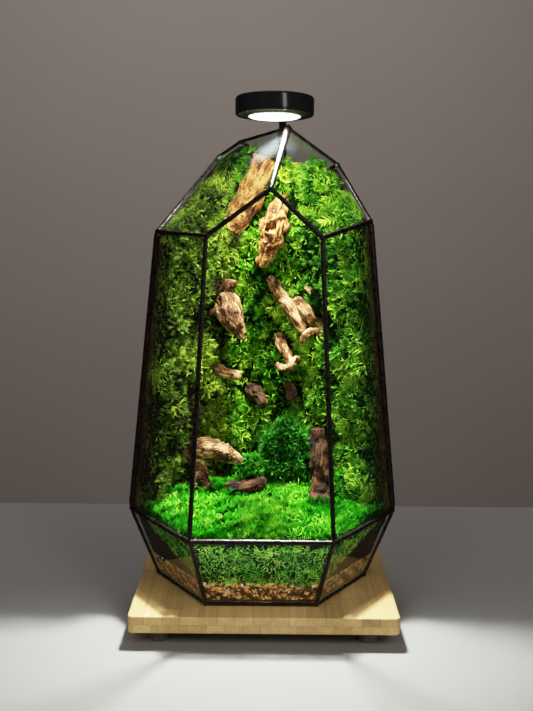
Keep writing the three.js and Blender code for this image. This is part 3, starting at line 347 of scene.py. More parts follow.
# %% [markdown]
# ## Light
#
# The lamp over the jar does most of the work: its light falls through the roof panes onto the moss and
# through the sides onto the table. A real lamp this close would burn out the moss under the roof, where the
# camera evened it out, so its light fades with the distance and not with its square, and is held to a cone.
# A soft light from the front right, two dim ones that reach behind the lower panes, a wash over the wall and
# a dim room do the rest. The room is darker still where it is mirrored, as it was at the places that the
# panes mirror.

# %% Lights
LAMP_PLACE = Vector((10.6, -4.9, 583.5)) * MM
LAMP_TURN = Matrix.Rotation(math.radians(-5), 4, "X")
LAMP_OPENING = 56 * MM
LAMP_SPREAD = math.radians(112)
UNDER_LENS = 1.2 * MM


def area_light(name, place, target, size, watts, color, height=None):
    """A soft disk, or with a height a soft upright rectangle, that shines at the target."""
    data = bpy.data.lights.new(name, "AREA")
    data.shape = "RECTANGLE" if height else "DISK"
    data.size = size
    data.size_y = height or size
    data.energy = watts
    data.color = color
    made = bpy.data.objects.new(name, data)
    made.location = place
    aim = Vector(target) - Vector(place)
    made.rotation_euler = aim.to_track_quat("-Z", "Y").to_euler()
    bpy.context.scene.collection.objects.link(made)
    return made


lamp_down = LAMP_TURN.to_3x3() @ Vector((0, 0, -1))
lamp_start, lamp_aim = LAMP_PLACE + lamp_down * UNDER_LENS, LAMP_PLACE + lamp_down
lamp_light = area_light("lamp light", lamp_start, lamp_aim, LAMP_OPENING, 15, (1.0, 0.985, 0.95))
lamp_light.data.spread = LAMP_SPREAD
lamp_light.data.use_nodes = True
lamp_tree = lamp_light.data.node_tree
fade = put(lamp_tree, "ShaderNodeLightFalloff", {"Strength": 1.0})
feed(lamp_tree, lamp_tree.nodes["Emission"], {"Strength": fade.outputs["Linear"]})

area_light("front softbox", (1.0, -1.75, 1.15), (0, 0, 0.3), 0.34, 5, (1.0, 0.95, 0.92), 1.5)
area_light("wall wash", (-0.2, 0.5, 1.9), (-0.1, 2.4, 1.0), 1.2, 27, (1.0, 0.97, 0.94))
for side in (-1, 1):
    fill = area_light("front fill", (0.55 * side, -1.3, 0.95), (0, -0.1, 0.05), 0.6, 5, (1.0, 0.96, 0.9))
    fill.visible_glossy = False
room = bpy.data.worlds.new("room")
room.use_nodes = True
sky = room.node_tree
room_tone = mix_of(sky, mirrored(sky), (0.060, 0.055, 0.053), (0.006, 0.006, 0.006))
feed(sky, sky.nodes["Background"], {"Color": room_tone})
bpy.context.scene.world = room
print("lamp at", [round(c, 4) for c in LAMP_PLACE])

# %% [markdown]
# ## Glass
#
# Window glass shows by what it reflects. Real refraction would also bend the lamp's light away from the
# moss in a render with few samples, so a shadow ray passes straight through, and every other ray meets
# ordinary glass. A little unevenness in the gloss stands for wiping marks and damp, and a patch of fine
# droplets hangs on the panes right under the warm lamp.

# %% Glass material
MIST_PLACE = Vector((5.0, 4.0, 554.0)) * MM  # on the left roof pane, under the lamp
MIST_REACH = 42 * MM
MIST_SHARE = 0.30  # of the light that the droplets catch in the middle of the patch


def pane_glass(name, haze):
    """Clear glass, with up to haze of roughness where it is damp."""
    material, tree, clear, place = new_material(name)
    damp = noise_of(tree, place, 30.0, 3.0)
    feed(tree, clear, {"Base Color": (0.96, 0.985, 0.975, 1), "Transmission Weight": 1.0, "IOR": 1.46})
    feed(tree, clear, {"Specular IOR Level": 0.22, "Roughness": range_of(tree, damp, 0.35, 0.75, 0.0, haze)})
    off_mist = put(tree, "ShaderNodeVectorMath", {0: place, 1: MIST_PLACE}, operation="DISTANCE")
    near_mist = range_of(
        tree, off_mist.outputs["Value"], MIST_REACH, 0.0, 0.0, MIST_SHARE, interpolation_type="SMOOTHERSTEP"
    )
    droplets = put(tree, "ShaderNodeBsdfTranslucent", {"Color": (0.75, 0.85, 1.0, 1)})
    through = put(tree, "ShaderNodeBsdfTransparent", {"Color": (0.95, 0.97, 0.96, 1)})

    def either(share, first, second):
        return put(tree, "ShaderNodeMixShader", {"Fac": share, 1: first.outputs[0], 2: second.outputs[0]})

    misted = either(math_of(tree, "MULTIPLY", near_mist, damp), clear, droplets)
    whole = either(put(tree, "ShaderNodeLightPath").outputs["Is Shadow Ray"], misted, through)
    feed(tree, tree.nodes["Material Output"], {"Surface": whole.outputs["Shader"]})
    return material


upper_glass = pane_glass("clear pane", 0.008)
lower_glass = pane_glass("misted pane", 0.007)
for node_name, node in frame["nodes"].items():
    if node_name.startswith("glass_"):
        misted = node_name.startswith("glass_lower")
        coat(node, lower_glass if misted else upper_glass)
print("glass on", sum(n.startswith("glass_") for n in frame["nodes"]), "panes")

# %% [markdown]
# Several pieces must stay inside the glass. Each pane is flat, so the largest triangle of a pane's node
# gives its plane. The open window has no pane: the two uprights beside it give that plane.

# %% Planes of the panes
MIDDLE_OF_JAR = np.array([0, JAR_AXIS_Y, 0.25])


def plane_through(a, b, c):
    """A point and the inward unit normal of the plane through three points."""
    normal = np.cross(b - a, c - a)
    normal /= np.linalg.norm(normal)
    if np.dot(MIDDLE_OF_JAR - a, normal) < 0:
        normal = -normal
    return a, normal


def pane_plane(node_name):
    mesh = frame["nodes"][node_name].data
    points = points_of(mesh)
    largest = max(mesh.polygons, key=lambda face: face.area)
    _, normal = plane_through(*points[list(largest.vertices)[:3]])
    return points.mean(axis=0), normal


def upright_ends(node_name):
    points = points_of(frame["nodes"][node_name].data)
    order = points[points[:, 2].argsort()]
    return order[:6].mean(axis=0), order[-6:].mean(axis=0)


left_low, left_high = upright_ends("came_upright_front_left")
right_low, _ = upright_ends("came_upright_front_right")
planes = [pane_plane(name) for name in frame["nodes"] if name.startswith("glass_")]
planes.append(plane_through(left_low, left_high, right_low))
print(len(planes), "planes bound the planting")

# %% [markdown]
# ## Solder
#
# Foil runs along the panes' edges and is soldered over, then blackened. Solder flows into the corners, so
# the strips are rebuilt in small even faces and softened, which leaves a fillet where they meet, and their
# radius wavers a little as a hand-drawn bead does. The beads of the two outer uprights are broader, because
# they also hide the edge of the fibre board, and the bead on the front ridge grows broader towards the top.

# %% Solder along the edges
def blackened_solder():
    material, tree, skin, place = new_material("blackened solder")
    tarnish = noise_of(tree, place, 120.0, 5.0)
    tone = ramp_of(tree, tarnish, (0.35, (0.007, 0.004, 0.004)), (0.75, (0.020, 0.011, 0.009)))
    feed(tree, skin, {"Base Color": tone, "Roughness": range_of(tree, tarnish, 0.0, 1.0, 0.16, 0.42)})
    feed(tree, skin, {"Metallic": 0.4, "Specular IOR Level": 0.9})
    feed(tree, skin, {"Normal": bump_of(tree, tarnish, 0.25, 0.3 * MM)})
    return material


def waver(piece, reach, scale, swell=0.0):
    """Moves each point along its normal by swell and by smooth noise of at most reach, 1/scale long."""
    points = points_of(piece.data)
    shift = np.array([noise.noise(Vector(point) * scale) for point in points])
    moved = points + normals_of(piece.data) * (swell + shift * reach)[:, None]
    set_points(piece.data, np.clip(moved, cad_box[0], cad_box[1]))


FRONT_RIDGE = [Vector((7.0, -109.1, 501.9)) * MM, Vector((26.5, 29.1, 574.0)) * MM]
RIDGE_REACH = 5 * MM  # how far from the ridge's line its bead goes
RIDGE_GAIN = 1.9 * MM  # how much thicker the bead is at the top


def broaden_front_ridge(strip):
    """The bead on the front ridge grows broader towards the top, where the panes meet at a sharper angle."""
    low, high = FRONT_RIDGE
    length = (high - low).length
    line = (high - low).normalized()
    points = points_of(strip.data)
    for i, vertex in enumerate(strip.data.vertices):
        along = (vertex.co - low).dot(line)
        off_line = (vertex.co - low - line * along).length
        share = min(1.0, max(0.0, along / length))
        if off_line < RIDGE_REACH and share < 1.0:
            points[i] += np.array(vertex.normal) * RIDGE_GAIN * share
    set_points(strip.data, np.clip(points, cad_box[0], cad_box[1]))


solder = blackened_solder()
SOLDER_FACE = 1.05 * MM
SOLDER_WAVER = 0.2 * MM
WAVES_PER_METRE = 160
SOLDER_SWELL = 0.8 * MM
BROAD_SWELL = 2.0 * MM  # of the outer uprights
for node_name in [name for name in frame["nodes"] if name.startswith("came_")]:
    strip = rounded_copy(node_name, "solder_" + node_name[5:], SOLDER_FACE, 2)
    broad = node_name in ("came_upright_left", "came_upright_right")
    waver(strip, SOLDER_WAVER, WAVES_PER_METRE, BROAD_SWELL if broad else SOLDER_SWELL)
    if node_name == "came_ridges":
        broaden_front_ridge(strip)
    shade_smooth(strip)
    finish_piece(strip, solder, node_name)
    print(strip.name, len(strip.data.polygons), "faces")

# %% [markdown]
# ## The bamboo board
#
# The board is two layers of bamboo strips glued side by side, with eased edges and rounded corners. Its
# outline is a rounded square, drawn in several times at different heights so that the edge is a soft curve.

# %% Board
BOARD_HALF = 150 * MM
BOARD_MIDDLE_X = 3.4 * MM
BOARD_LOW, BOARD_HIGH = 17 * MM, 36 * MM
BOARD_CORNER = 7 * MM
BOARD_EDGE = 1.2 * MM


def rounded_square(half, corner, height, steps=10):
    points = []
    for quarter in range(4):
        middle = Matrix.Rotation(quarter * math.pi / 2, 3, "Z") @ Vector((half - corner, half - corner, 0))
        for i in range(steps + 1):
            angle = (quarter + i / steps) * math.pi / 2
            arc = Vector((math.cos(angle), math.sin(angle), 0)) * corner
            points.append(middle + arc + Vector((0, 0, height)))
    return points


def join_rings(skin, low, high):
    """Adds the faces between two rings of corners; a ring may be a single corner."""
    sides = max(len(low), len(high))
    for i in range(sides):
        j = (i + 1) % sides
        corners = [low[i % len(low)], low[j % len(low)], high[j % len(high)], high[i % len(high)]]
        unique = list(dict.fromkeys(corners))
        if len(unique) > 2:
            skin.faces.new(unique)


def lofted(name, rings):
    """A closed skin through rings of points, with a flat face on the first and the last ring."""
    skin = bmesh.new()
    rows = [[skin.verts.new(point) for point in ring] for ring in rings]
    for low, high in zip(rows, rows[1:]):
        join_rings(skin, low, high)
    skin.faces.new(reversed(rows[0]))
    skin.faces.new(rows[-1])
    bmesh.ops.recalc_face_normals(skin, faces=skin.faces)
    return add_object(name, mesh_from(skin, name))


def eased(height, toward):
    """Insets and heights of a rounded edge that starts at a face and ends a little way into the side."""
    return [
        (BOARD_EDGE * (1 - math.sin(a)), height + toward * BOARD_EDGE * (1 - math.cos(a)))
        for a in (k * math.pi / 10 for k in range(6))
    ]


edge_rows = eased(BOARD_LOW, 1) + eased(BOARD_HIGH, -1)[::-1]
board_rings = []
for inset, height in edge_rows:
    ring = rounded_square(BOARD_HALF - inset, BOARD_CORNER - inset, height)
    board_rings.append([point + Vector((BOARD_MIDDLE_X, 0, 0)) for point in ring])
board = lofted("bamboo_board", board_rings)
print("board of", len(board.data.polygons), "faces")

# %% [markdown]
# Bamboo has straight, fine fibres along each strip, and strips differ in tone. The strips run from front to
# back, so the front edge shows their ends: short blocks in two layers. White noise on the strip's number
# gives each its tone, stretched noise gives the fibres, and a rare darker band stands for a joint of the
# cane. The seams between strips and the glue line between the layers are darker too.

# %% Bamboo material
STRIP_WIDTH = 20 * MM
LAYER_SPLIT = 26.5 * MM  # height of the glue line between the layers
LAYER_SHIFT = 0.43  # of a strip's width, between the layers
JOINTS_PER_METRE = 5.0


def bamboo():
    material, tree, skin, place = new_material("bamboo")
    axes = put(tree, "ShaderNodeSeparateXYZ", {"Vector": place}).outputs

    def maths(operation, a, b=0.0, c=0.0):
        return math_of(tree, operation, a, b, c)

    layer = maths("GREATER_THAN", axes["Z"], LAYER_SPLIT)
    across = maths("MULTIPLY_ADD", axes["X"], 1 / STRIP_WIDTH, maths("MULTIPLY", layer, LAYER_SHIFT))
    key = put(tree, "ShaderNodeCombineXYZ", {"X": maths("FLOOR", across), "Y": layer})
    strip_tone = put(tree, "ShaderNodeTexWhiteNoise", {"Vector": key.outputs["Vector"]}).outputs["Value"]
    fibres = stretched_of(tree, place, (900, 22, 900), 4.0)
    broad = stretched_of(tree, place, (160, 5, 160), 3.0)
    strip_color = ramp_of(tree, strip_tone, (0.0, (0.52, 0.325, 0.11)), (1.0, (0.70, 0.475, 0.19)))
    grain = mix_of(tree, 0.8, strip_color, fibres, "SOFT_LIGHT")
    along = maths("MULTIPLY_ADD", strip_tone, 7.3, maths("MULTIPLY", axes["Y"], JOINTS_PER_METRE))
    knot = maths("LESS_THAN", maths("FRACT", along), 0.014)
    tone = maths("SUBTRACT", maths("MULTIPLY_ADD", broad, 0.5, 0.72), maths("MULTIPLY", knot, 0.28))
    off_middle = maths("ABSOLUTE", maths("SUBTRACT", maths("FRACT", across), 0.5))
    seam_dark = maths("MULTIPLY", maths("GREATER_THAN", off_middle, 0.483), 0.30)
    off_glue = maths("ABSOLUTE", maths("SUBTRACT", axes["Z"], LAYER_SPLIT))
    glue_dark = maths("MULTIPLY", maths("LESS_THAN", off_glue, 0.25 * MM), 0.35)
    shade = maths("SUBTRACT", tone, maths("MAXIMUM", seam_dark, glue_dark))
    feed(tree, skin, {"Base Color": mix_of(tree, 1.0, grain, shade, "MULTIPLY")})
    feed(tree, skin, {"Roughness": range_of(tree, fibres, 0.0, 1.0, 0.36, 0.55)})
    feed(tree, skin, {"Normal": bump_of(tree, fibres, 0.2, 0.2 * MM)})
    feed(tree, skin, {"Coat Weight": 0.15, "Coat Roughness": 0.3})
    return material


finish_piece(board, bamboo(), "board")
print("strips of", STRIP_WIDTH / MM, "mm")

# %% [markdown]
# ## Feet and lamp
#
# The feet, the lamp head with its ring and lens, and the pole are round, so each is a profile of radius and
# height turned about an axis. A profile may start and end on the axis, where the turned skin closes; one
# that stays off the axis closes on itself, as a ring.

# %% Turned pieces
def turned(name, profile, place, sides):
    """Turns a profile of (radius, height) pairs, in millimetres, about +Z, then sets it in its place."""
    skin = bmesh.new()
    rows = []
    for radius, height in profile:
        count = 1 if radius == 0 else sides
        angles = [2 * math.pi * i / sides for i in range(count)]
        ring = [Vector((radius * math.cos(a), radius * math.sin(a), height)) * MM for a in angles]
        rows.append([skin.verts.new(point) for point in ring])
    pairs = list(zip(rows, rows[1:]))
    if profile[0][0] > 0:
        pairs.append((rows[-1], rows[0]))
    for low, high in pairs:
        join_rings(skin, low, high)
    bmesh.ops.recalc_face_normals(skin, faces=skin.faces)
    skin.transform(place)
    return add_object(name, mesh_from(skin, name))


STEEP = math.radians(35)


def turned_piece(name, profile, place, sides, material, node):
    """A turned piece in its node's place, smooth except over edges that turn by more than STEEP."""
    piece = turned(name, profile, place, sides)
    shade_smooth(piece)
    piece.data.set_sharp_from_angle(angle=STEEP)
    finish_piece(piece, material, node)
    return piece


def lacquer(name, color, roughness, topcoat, metallic=0.0):
    """A glossy lacquer or plastic with the faint orange peel and dust of the real thing."""
    material, tree, skin, place = new_material(name)
    dust = noise_of(tree, place, 260.0, 4.0)
    lighter = [min(1, c * 1.5 + 0.01) for c in color]
    rough = range_of(tree, dust, 0.0, 1.0, roughness * 0.8, roughness * 1.3)
    feed(tree, skin, {"Base Color": mix_of(tree, dust, color, lighter), "Roughness": rough})
    feed(tree, skin, {"Coat Weight": topcoat, "Metallic": metallic})
    feed(tree, skin, {"Normal": bump_of(tree, dust, 0.06, 0.1 * MM)})
    return material


FOOT_PROFILE = [(0, 0), (11.2, 0), (12.1, 0.5), (12.5, 1.4), (12.4, 3.2), (11.9, 3.6)]
FOOT_PROFILE += [(11.9, 15.6), (11.4, 16.8), (0, 16.8)]
FOOT_REACH = 118 * MM
foot_plastic = lacquer("foot plastic", (0.115, 0.085, 0.072), 0.25, 0.3)
FEET = {"front_left": (-1, -1), "front_right": (1, -1), "back_right": (1, 1), "back_left": (-1, 1)}
for name, (side, depth) in FEET.items():
    place = Matrix.Translation((BOARD_MIDDLE_X + side * FOOT_REACH, depth * FOOT_REACH, 0))
    turned_piece("round_foot_" + name, FOOT_PROFILE, place, 40, foot_plastic, "foot_" + name)
print("four feet")

# %% [markdown]
# The lamp is a shallow black drum. Its ring steps in towards a domed lens, with a thin polished line at the
# rim. The light plate is sealed behind the lens and is left as it is in the solid model.

# %% Lamp head
lamp_black = lacquer("lamp black", (0.008, 0.008, 0.010), 0.16, 0.6, 0.2)
polished_rim = lacquer("polished rim", (0.62, 0.60, 0.60), 0.14, 0.2, 0.9)
head_place = Matrix.Translation(LAMP_PLACE) @ LAMP_TURN
HOUSING_PROFILE = [(0, 24), (42.6, 24), (44.2, 23.6), (45.2, 22.6), (45.6, 21.2), (45.6, 6.4), (45.2, 6.1)]
HOUSING_PROFILE += [(45.2, 5.5), (45.6, 5.2), (45.4, 4.0), (44.6, 3.2), (43.4, 3.1), (43.3, 8.9), (41.9, 9.1)]
HOUSING_PROFILE += [(41.8, 20.9), (0, 20.9)]
housing = turned_piece("lamp_drum", HOUSING_PROFILE, head_place, 96, lamp_black, "lamp_housing")

BEZEL_PROFILE = [(42.0, 3.6), (42.8, 4.4), (42.8, 8.5), (32.1, 8.5), (30.5, 4.5), (30.4, 1.3), (31.0, 1.2)]
BEZEL_PROFILE += [(33.8, 1.2), (34.6, 1.6), (35.2, 2.7), (36.4, 2.9), (37.0, 3.2), (39.8, 3.4)]
RIM_INNER, RIM_OUTER, RIM_TOP = 34.0 * MM, 35.4 * MM, 3 * MM
ring_black = lacquer("ring black", (0.006, 0.006, 0.007), 0.4, 0.0)
bezel = turned_piece("lamp_ring", BEZEL_PROFILE, head_place, 96, ring_black, "lamp_bezel")
bezel.data.materials.append(polished_rim)
for face in bezel.data.polygons:
    middle = head_place.inverted() @ face.center
    if RIM_INNER < math.hypot(middle.x, middle.y) < RIM_OUTER and middle.z < RIM_TOP:
        face.material_index = 1
print("lamp head of", len(housing.data.polygons) + len(bezel.data.polygons), "faces")

# %% [markdown]
# The lens glows. A ring of faint facets keeps it from being one flat white, and a plain emission strength on
# the shader's own socket makes it bright.

# %% Lens, pole and arm
def glowing_lens():
    material, tree, skin, place = new_material("glowing lens")
    cells = put(tree, "ShaderNodeTexVoronoi", {"Vector": place, "Scale": 190.0}).outputs["Distance"]
    tone = ramp_of(tree, cells, (0.0, (1.0, 1.0, 1.0)), (1.0, (0.72, 0.80, 0.92)))
    feed(tree, skin, {"Base Color": tone, "Roughness": 0.25})
    feed(tree, skin, {"Emission Color": tone, "Emission Strength": 6.0})
    return material


LENS_PROFILE = [(0, 0.05), (16, 0.1), (24, 0.4), (28, 1.0), (29.6, 2.0), (29.9, 3.0), (29.9, 4.0), (0, 4.0)]
turned_piece("lamp_glow_lens", LENS_PROFILE, head_place, 72, glowing_lens(), "lamp_lens")
coat(frame["nodes"]["lamp_light_plate"], glowing_lens())

POLE_PLACE = Matrix.Translation(Vector((21.7, 141.6, 36.3)) * MM)
POLE_PROFILE = [(0, 0.05), (7.9, 0.05), (7.95, 5.6), (7.2, 6.9), (5.4, 7.7), (4.97, 8.6)]
POLE_PROFILE += [(4.97, 536.8), (0, 536.8)]
turned_piece("lamp_pole_tube", POLE_PROFILE, POLE_PLACE, 40, lamp_black, "lamp_pole")

arm = rounded_copy("lamp_arm", "lamp_bent_arm", 0.9 * MM, 3)
shade_smooth(arm)
finish_piece(arm, lamp_black, "lamp_arm")
print("lens, pole and arm stand")

# %% [markdown]
# ## Driftwood
#
# Each piece of driftwood keeps the form of its solid, rebuilt in even small faces, and is then weathered:
# long grooves follow the grain, which runs along the piece's longest direction, and small knobs break up
# the outline, higher and closer together on the knobbly root. How high a point lies is kept as the attribute
# ridge, so that the material can make the ridges pale and the grooves dark: partly the wood's own weathering,
# bleached on the ridges, and partly painted shade in the grooves. The point's place along the grain is kept
# as the attribute own.

# %% Weathered driftwood
WOOD_FACE = 1.15 * MM
GROOVE_DEPTH = 1.7 * MM
KNOB_HEIGHT = 1.9 * MM
KNOBS_PER_METRE = 85
BENDS_PER_METRE, BEND_REACH = 45, 0.006  # of the grain, which isn't straight
GROOVES_ALONG, GROOVES_ACROSS = 35, 330  # per metre
GROOVE_FLOOR = 0.22
KNOB_SHARE = 0.8
DEEP_KNOBS = (5.5 * MM, 130)  # their height and number per metre on the knobbly root


def grain_frame(points):
    """Rows are the piece's own directions, the longest first."""
    spread = np.cov((points - points.mean(axis=0)).T)
    _, directions = np.linalg.eigh(spread)
    return directions.T[::-1]


def weather(piece, seed, knob_height=KNOB_HEIGHT, knobs_per_metre=KNOBS_PER_METRE):
    mesh = piece.data
    points = points_of(mesh)
    own = (points - points.mean(axis=0)) @ grain_frame(points).T
    offset = Vector((seed * 3.1, seed * 1.7, 0))
    depth = np.empty(len(points))
    for i, (along, side, thick) in enumerate(own):
        place = Vector((along, side, thick))
        bend = noise.noise(place * BENDS_PER_METRE + offset) * BEND_REACH
        across = [(c + bend) * GROOVES_ACROSS for c in (side, thick)]
        groove = noise.noise(Vector((along * GROOVES_ALONG, *across)) + offset)
        knob = noise.noise(place * knobs_per_metre + offset)
        depth[i] = (abs(groove) - GROOVE_FLOOR) * 1.6 + KNOB_SHARE * knob
    lift = np.clip(depth, -0.7, 0.5)
    set_points(mesh, points + normals_of(mesh) * (lift * (GROOVE_DEPTH + knob_height) / 2)[:, None])
    mesh.attributes.new("ridge", "FLOAT", "POINT").data.foreach_set("value", np.clip(lift + 0.5, 0, 1))
    mesh.attributes.new("own", "FLOAT_VECTOR", "POINT").data.foreach_set("vector", own.ravel())


def driftwood(name, dark, middle, pale, grain):
    """Grain is the share of long fibres in the colour; the rest is the granular, corky part."""
    material, tree, skin, _ = new_material(name)
    own = attribute_of(tree, "own", "Vector")

    def weighed(value, weight, rest):
        return math_of(tree, "MULTIPLY_ADD", value, weight, rest)

    patches = stretched_of(tree, own, (48, 48, 48), 3.0)
    fibres = stretched_of(tree, own, (70, 760, 760), 4.0)
    grit = stretched_of(tree, own, (480, 480, 480), 5.0)
    relief = weighed(fibres, 1.5 * grain, weighed(grit, 1.5 * (0.9 - grain), 0.0))
    # The attribute ridge darkens the grooves: partly the wood's weathering, partly painted shade.
    height = weighed(attribute_of(tree, "ridge"), 0.60, weighed(patches, 0.70, relief))
    level = range_of(tree, height, 0.98, 1.72)
    feed(tree, skin, {"Base Color": ramp_of(tree, level, (0.0, dark), (0.5, middle), (1.0, pale))})
    feed(tree, skin, {"Normal": bump_of(tree, relief, 1.0, 1.6 * MM)})
    feed(tree, skin, {"Roughness": 0.85, "Specular IOR Level": 0.2})
    return material


bleached_wood = driftwood(
    "bleached wood", (0.020, 0.007, 0.003), (0.18, 0.070, 0.018), (0.60, 0.39, 0.17), 0.6
)
orange_wood = driftwood("orange bark", (0.030, 0.010, 0.003), (0.25, 0.090, 0.018), (0.54, 0.28, 0.075), 0.15)
brown_wood = driftwood("brown wood", (0.010, 0.004, 0.002), (0.12, 0.046, 0.012), (0.46, 0.29, 0.12), 0.5)
dark_wood = driftwood("dark wood", (0.004, 0.002, 0.001), (0.026, 0.010, 0.003), (0.085, 0.036, 0.011), 0.5)
WOOD_FINISH = {  # the other pieces are of bleached wood
    "bark_slab": orange_wood,
    "knobbly_root": orange_wood,
    "left_chunk": brown_wood,
    "hollow_root_left": brown_wood,
    "dark_stub_left": dark_wood,
    "dark_stub_right": dark_wood,
    "hollow_stump": dark_wood,
    "low_log": dark_wood,
}
wood_pieces = []
for seed, node_name in enumerate(name for name in frame["nodes"] if name.startswith("wood_")):
    short = node_name[5:]
    piece = rounded_copy(node_name, "driftwood_" + short, WOOD_FACE, 1)
    weather(piece, seed, *(DEEP_KNOBS if short == "knobbly_root" else ()))
    shade_smooth(piece)
    finish_piece(piece, WOOD_FINISH.get(short, bleached_wood), node_name)
    wood_pieces.append(piece)
    print(piece.name, len(piece.data.polygons), "faces")

# %% [markdown]
# ## Moss: the sprays
#
# Sheet moss is a mat of feathery sprays, each a stem with two rows of leaflets. A member is repeated
# thousands of times, so it has few faces: every leaflet is a slim closed spike of four. Low moss is made of
# tufts of such spikes, and long ends of three bent strands, the curls, stand out of the mat. Each kind has
# three members with different bends, which keeps the mat from looking stamped. They have equal numbers of
# points, so that the finished mat can be taken apart again, member by member, when those that would pass
# through the glass are moved.

# %% Sprays, tufts and curls
LEAFLET_PAIRS = 5
LEAFLET_REACH = 0.38
NEEDLES = 7
NEEDLE_LEAN = 0.55
STRANDS = 3
STRAND_WIDTH = 0.052


def spike(skin, start, tip, width, level, tone):
    """A slim closed spike. Tone goes from 0 at the foot of the spray to 1 at its top."""
    direction = (tip - start).normalized()
    side = direction.cross(Vector((0.3, 1, 0.1))).normalized() * width
    up = direction.cross(side).normalized() * width * 0.6
    corners = [skin.verts.new(start + side), skin.verts.new(start - side * 0.7), skin.verts.new(start + up)]
    top = skin.verts.new(tip)
    for vertex in corners:
        vertex[level] = tone[0]
    top[level] = tone[1]
    skin.faces.new(corners)
    for i in range(3):
        skin.faces.new((corners[(i + 1) % 3], corners[i], top))


def member(name, build, *details):
    """An object with the faces that build adds and with the attribute along, for the tone."""
    skin = bmesh.new()
    build(skin, skin.verts.layers.float.new("along"), *details)
    bmesh.ops.recalc_face_normals(skin, faces=skin.faces)
    return bpy.data.objects.new(name, mesh_from(skin, name))


def feather(skin, level, seed, droop):
    """A feathery spray one unit long, which rises along +Z and bends towards -Y."""
    draw = np.random.default_rng(seed)

    def stem(t):
        return Vector((0.06 * math.sin(3 * t + seed), -droop * t * t, t * (1 - 0.25 * droop * t)))

    spike(skin, stem(0), stem(0.6), 0.050, level, (0, 0.5))
    spike(skin, stem(0.5), stem(1.0), 0.046, level, (0.5, 1))
    for k in range(LEAFLET_PAIRS):
        t = 0.14 + 0.68 * k / (LEAFLET_PAIRS - 1)
        reach = LEAFLET_REACH * math.sin(math.pi * (0.25 + 0.62 * t)) * draw.uniform(0.75, 1.15)
        for side in (-1, 1):
            away = Vector((side * reach, draw.uniform(-0.16, 0.06), reach * draw.uniform(0.55, 0.95)))
            spike(skin, stem(t), stem(t) + away, 0.060, level, (t, min(1, t + 0.35)))


def needle_tuft(skin, level, seed):
    """Spikes that rise from one root and lean apart."""
    draw = np.random.default_rng(seed)
    for k in range(NEEDLES):
        angle = 2 * math.pi * (k + draw.uniform(-0.3, 0.3)) / NEEDLES
        lean = NEEDLE_LEAN * draw.uniform(0.35, 1.0)
        root = Vector((0.1 * math.cos(angle), 0.1 * math.sin(angle), 0))
        tip = Vector((lean * math.cos(angle), lean * math.sin(angle), draw.uniform(0.75, 1.0)))
        spike(skin, root, tip, 0.075, level, (0.0, 1))


def strand(skin, path, width, level, tone):
    """A closed three-sided strand along five points, pointed at both ends."""
    rings = []
    for k in (1, 2, 3):
        along = (path[k + 1] - path[k - 1]).normalized()
        side = along.cross(Vector((0.3, 1, 0.1))).normalized()
        up = along.cross(side)
        turns = [2 * math.pi * i / 3 for i in range(3)]
        offsets = [(side * math.cos(a) + up * math.sin(a)) * width for a in turns]
        rings.append([skin.verts.new(path[k] + offset) for offset in offsets])
    foot, top = skin.verts.new(path[0]), skin.verts.new(path[4])
    for k, points in enumerate(([foot], *rings, [top])):
        for point in points:
            point[level] = tone[0] + (tone[1] - tone[0]) * k / 4
    for i in range(3):
        j = (i + 1) % 3
        skin.faces.new((foot, rings[0][j], rings[0][i]))
        skin.faces.new((top, rings[2][i], rings[2][j]))
        for low, high in zip(rings, rings[1:]):
            skin.faces.new((low[i], low[j], high[j], high[i]))


def curl(skin, level, seed):
    """A few bent strands from one root: the long ends that stand out of the mat."""
    draw = np.random.default_rng(seed)
    for k in range(STRANDS):
        angle = 2 * math.pi * (k + draw.uniform(-0.3, 0.3)) / STRANDS
        away = Vector((math.cos(angle), math.sin(angle), 0))
        beside = Vector((-math.sin(angle), math.cos(angle), 0))
        lean, bend = draw.uniform(0.3, 0.8), draw.uniform(-0.28, 0.28)
        height = draw.uniform(0.6, 1.0)
        path = []
        for t in (0.0, 0.25, 0.5, 0.75, 1.0):
            rise = Vector((0, 0, height * t * (1.35 - 0.35 * t)))
            path.append(away * lean * t + beside * bend * math.sin(math.pi * t) + rise)
        strand(skin, path, STRAND_WIDTH, level, (0.45, 1.25))


def collect(name, objects):
    group = bpy.data.collections.new(name)
    for item in objects:
        group.objects.link(item)
    return group


sprays = collect("sprays", [member(f"spray_{i}", feather, i, 0.2 + 0.12 * i) for i in range(3)])
tufts = collect("tufts", [member(f"tuft_{i}", needle_tuft, 10 + i) for i in range(3)])
curls = collect("curls", [member(f"curl_{i}", curl, 20 + i) for i in range(3)])

# %% [markdown]
# ## Moss: the growing tree of nodes
#
# One Geometry Nodes tree grows every kind of moss and lays the gravel. It scatters points over a bed, turns
# each member away from the bed with some disorder, gives it a size and a tone of its own, and ends as real
# faces with their material.

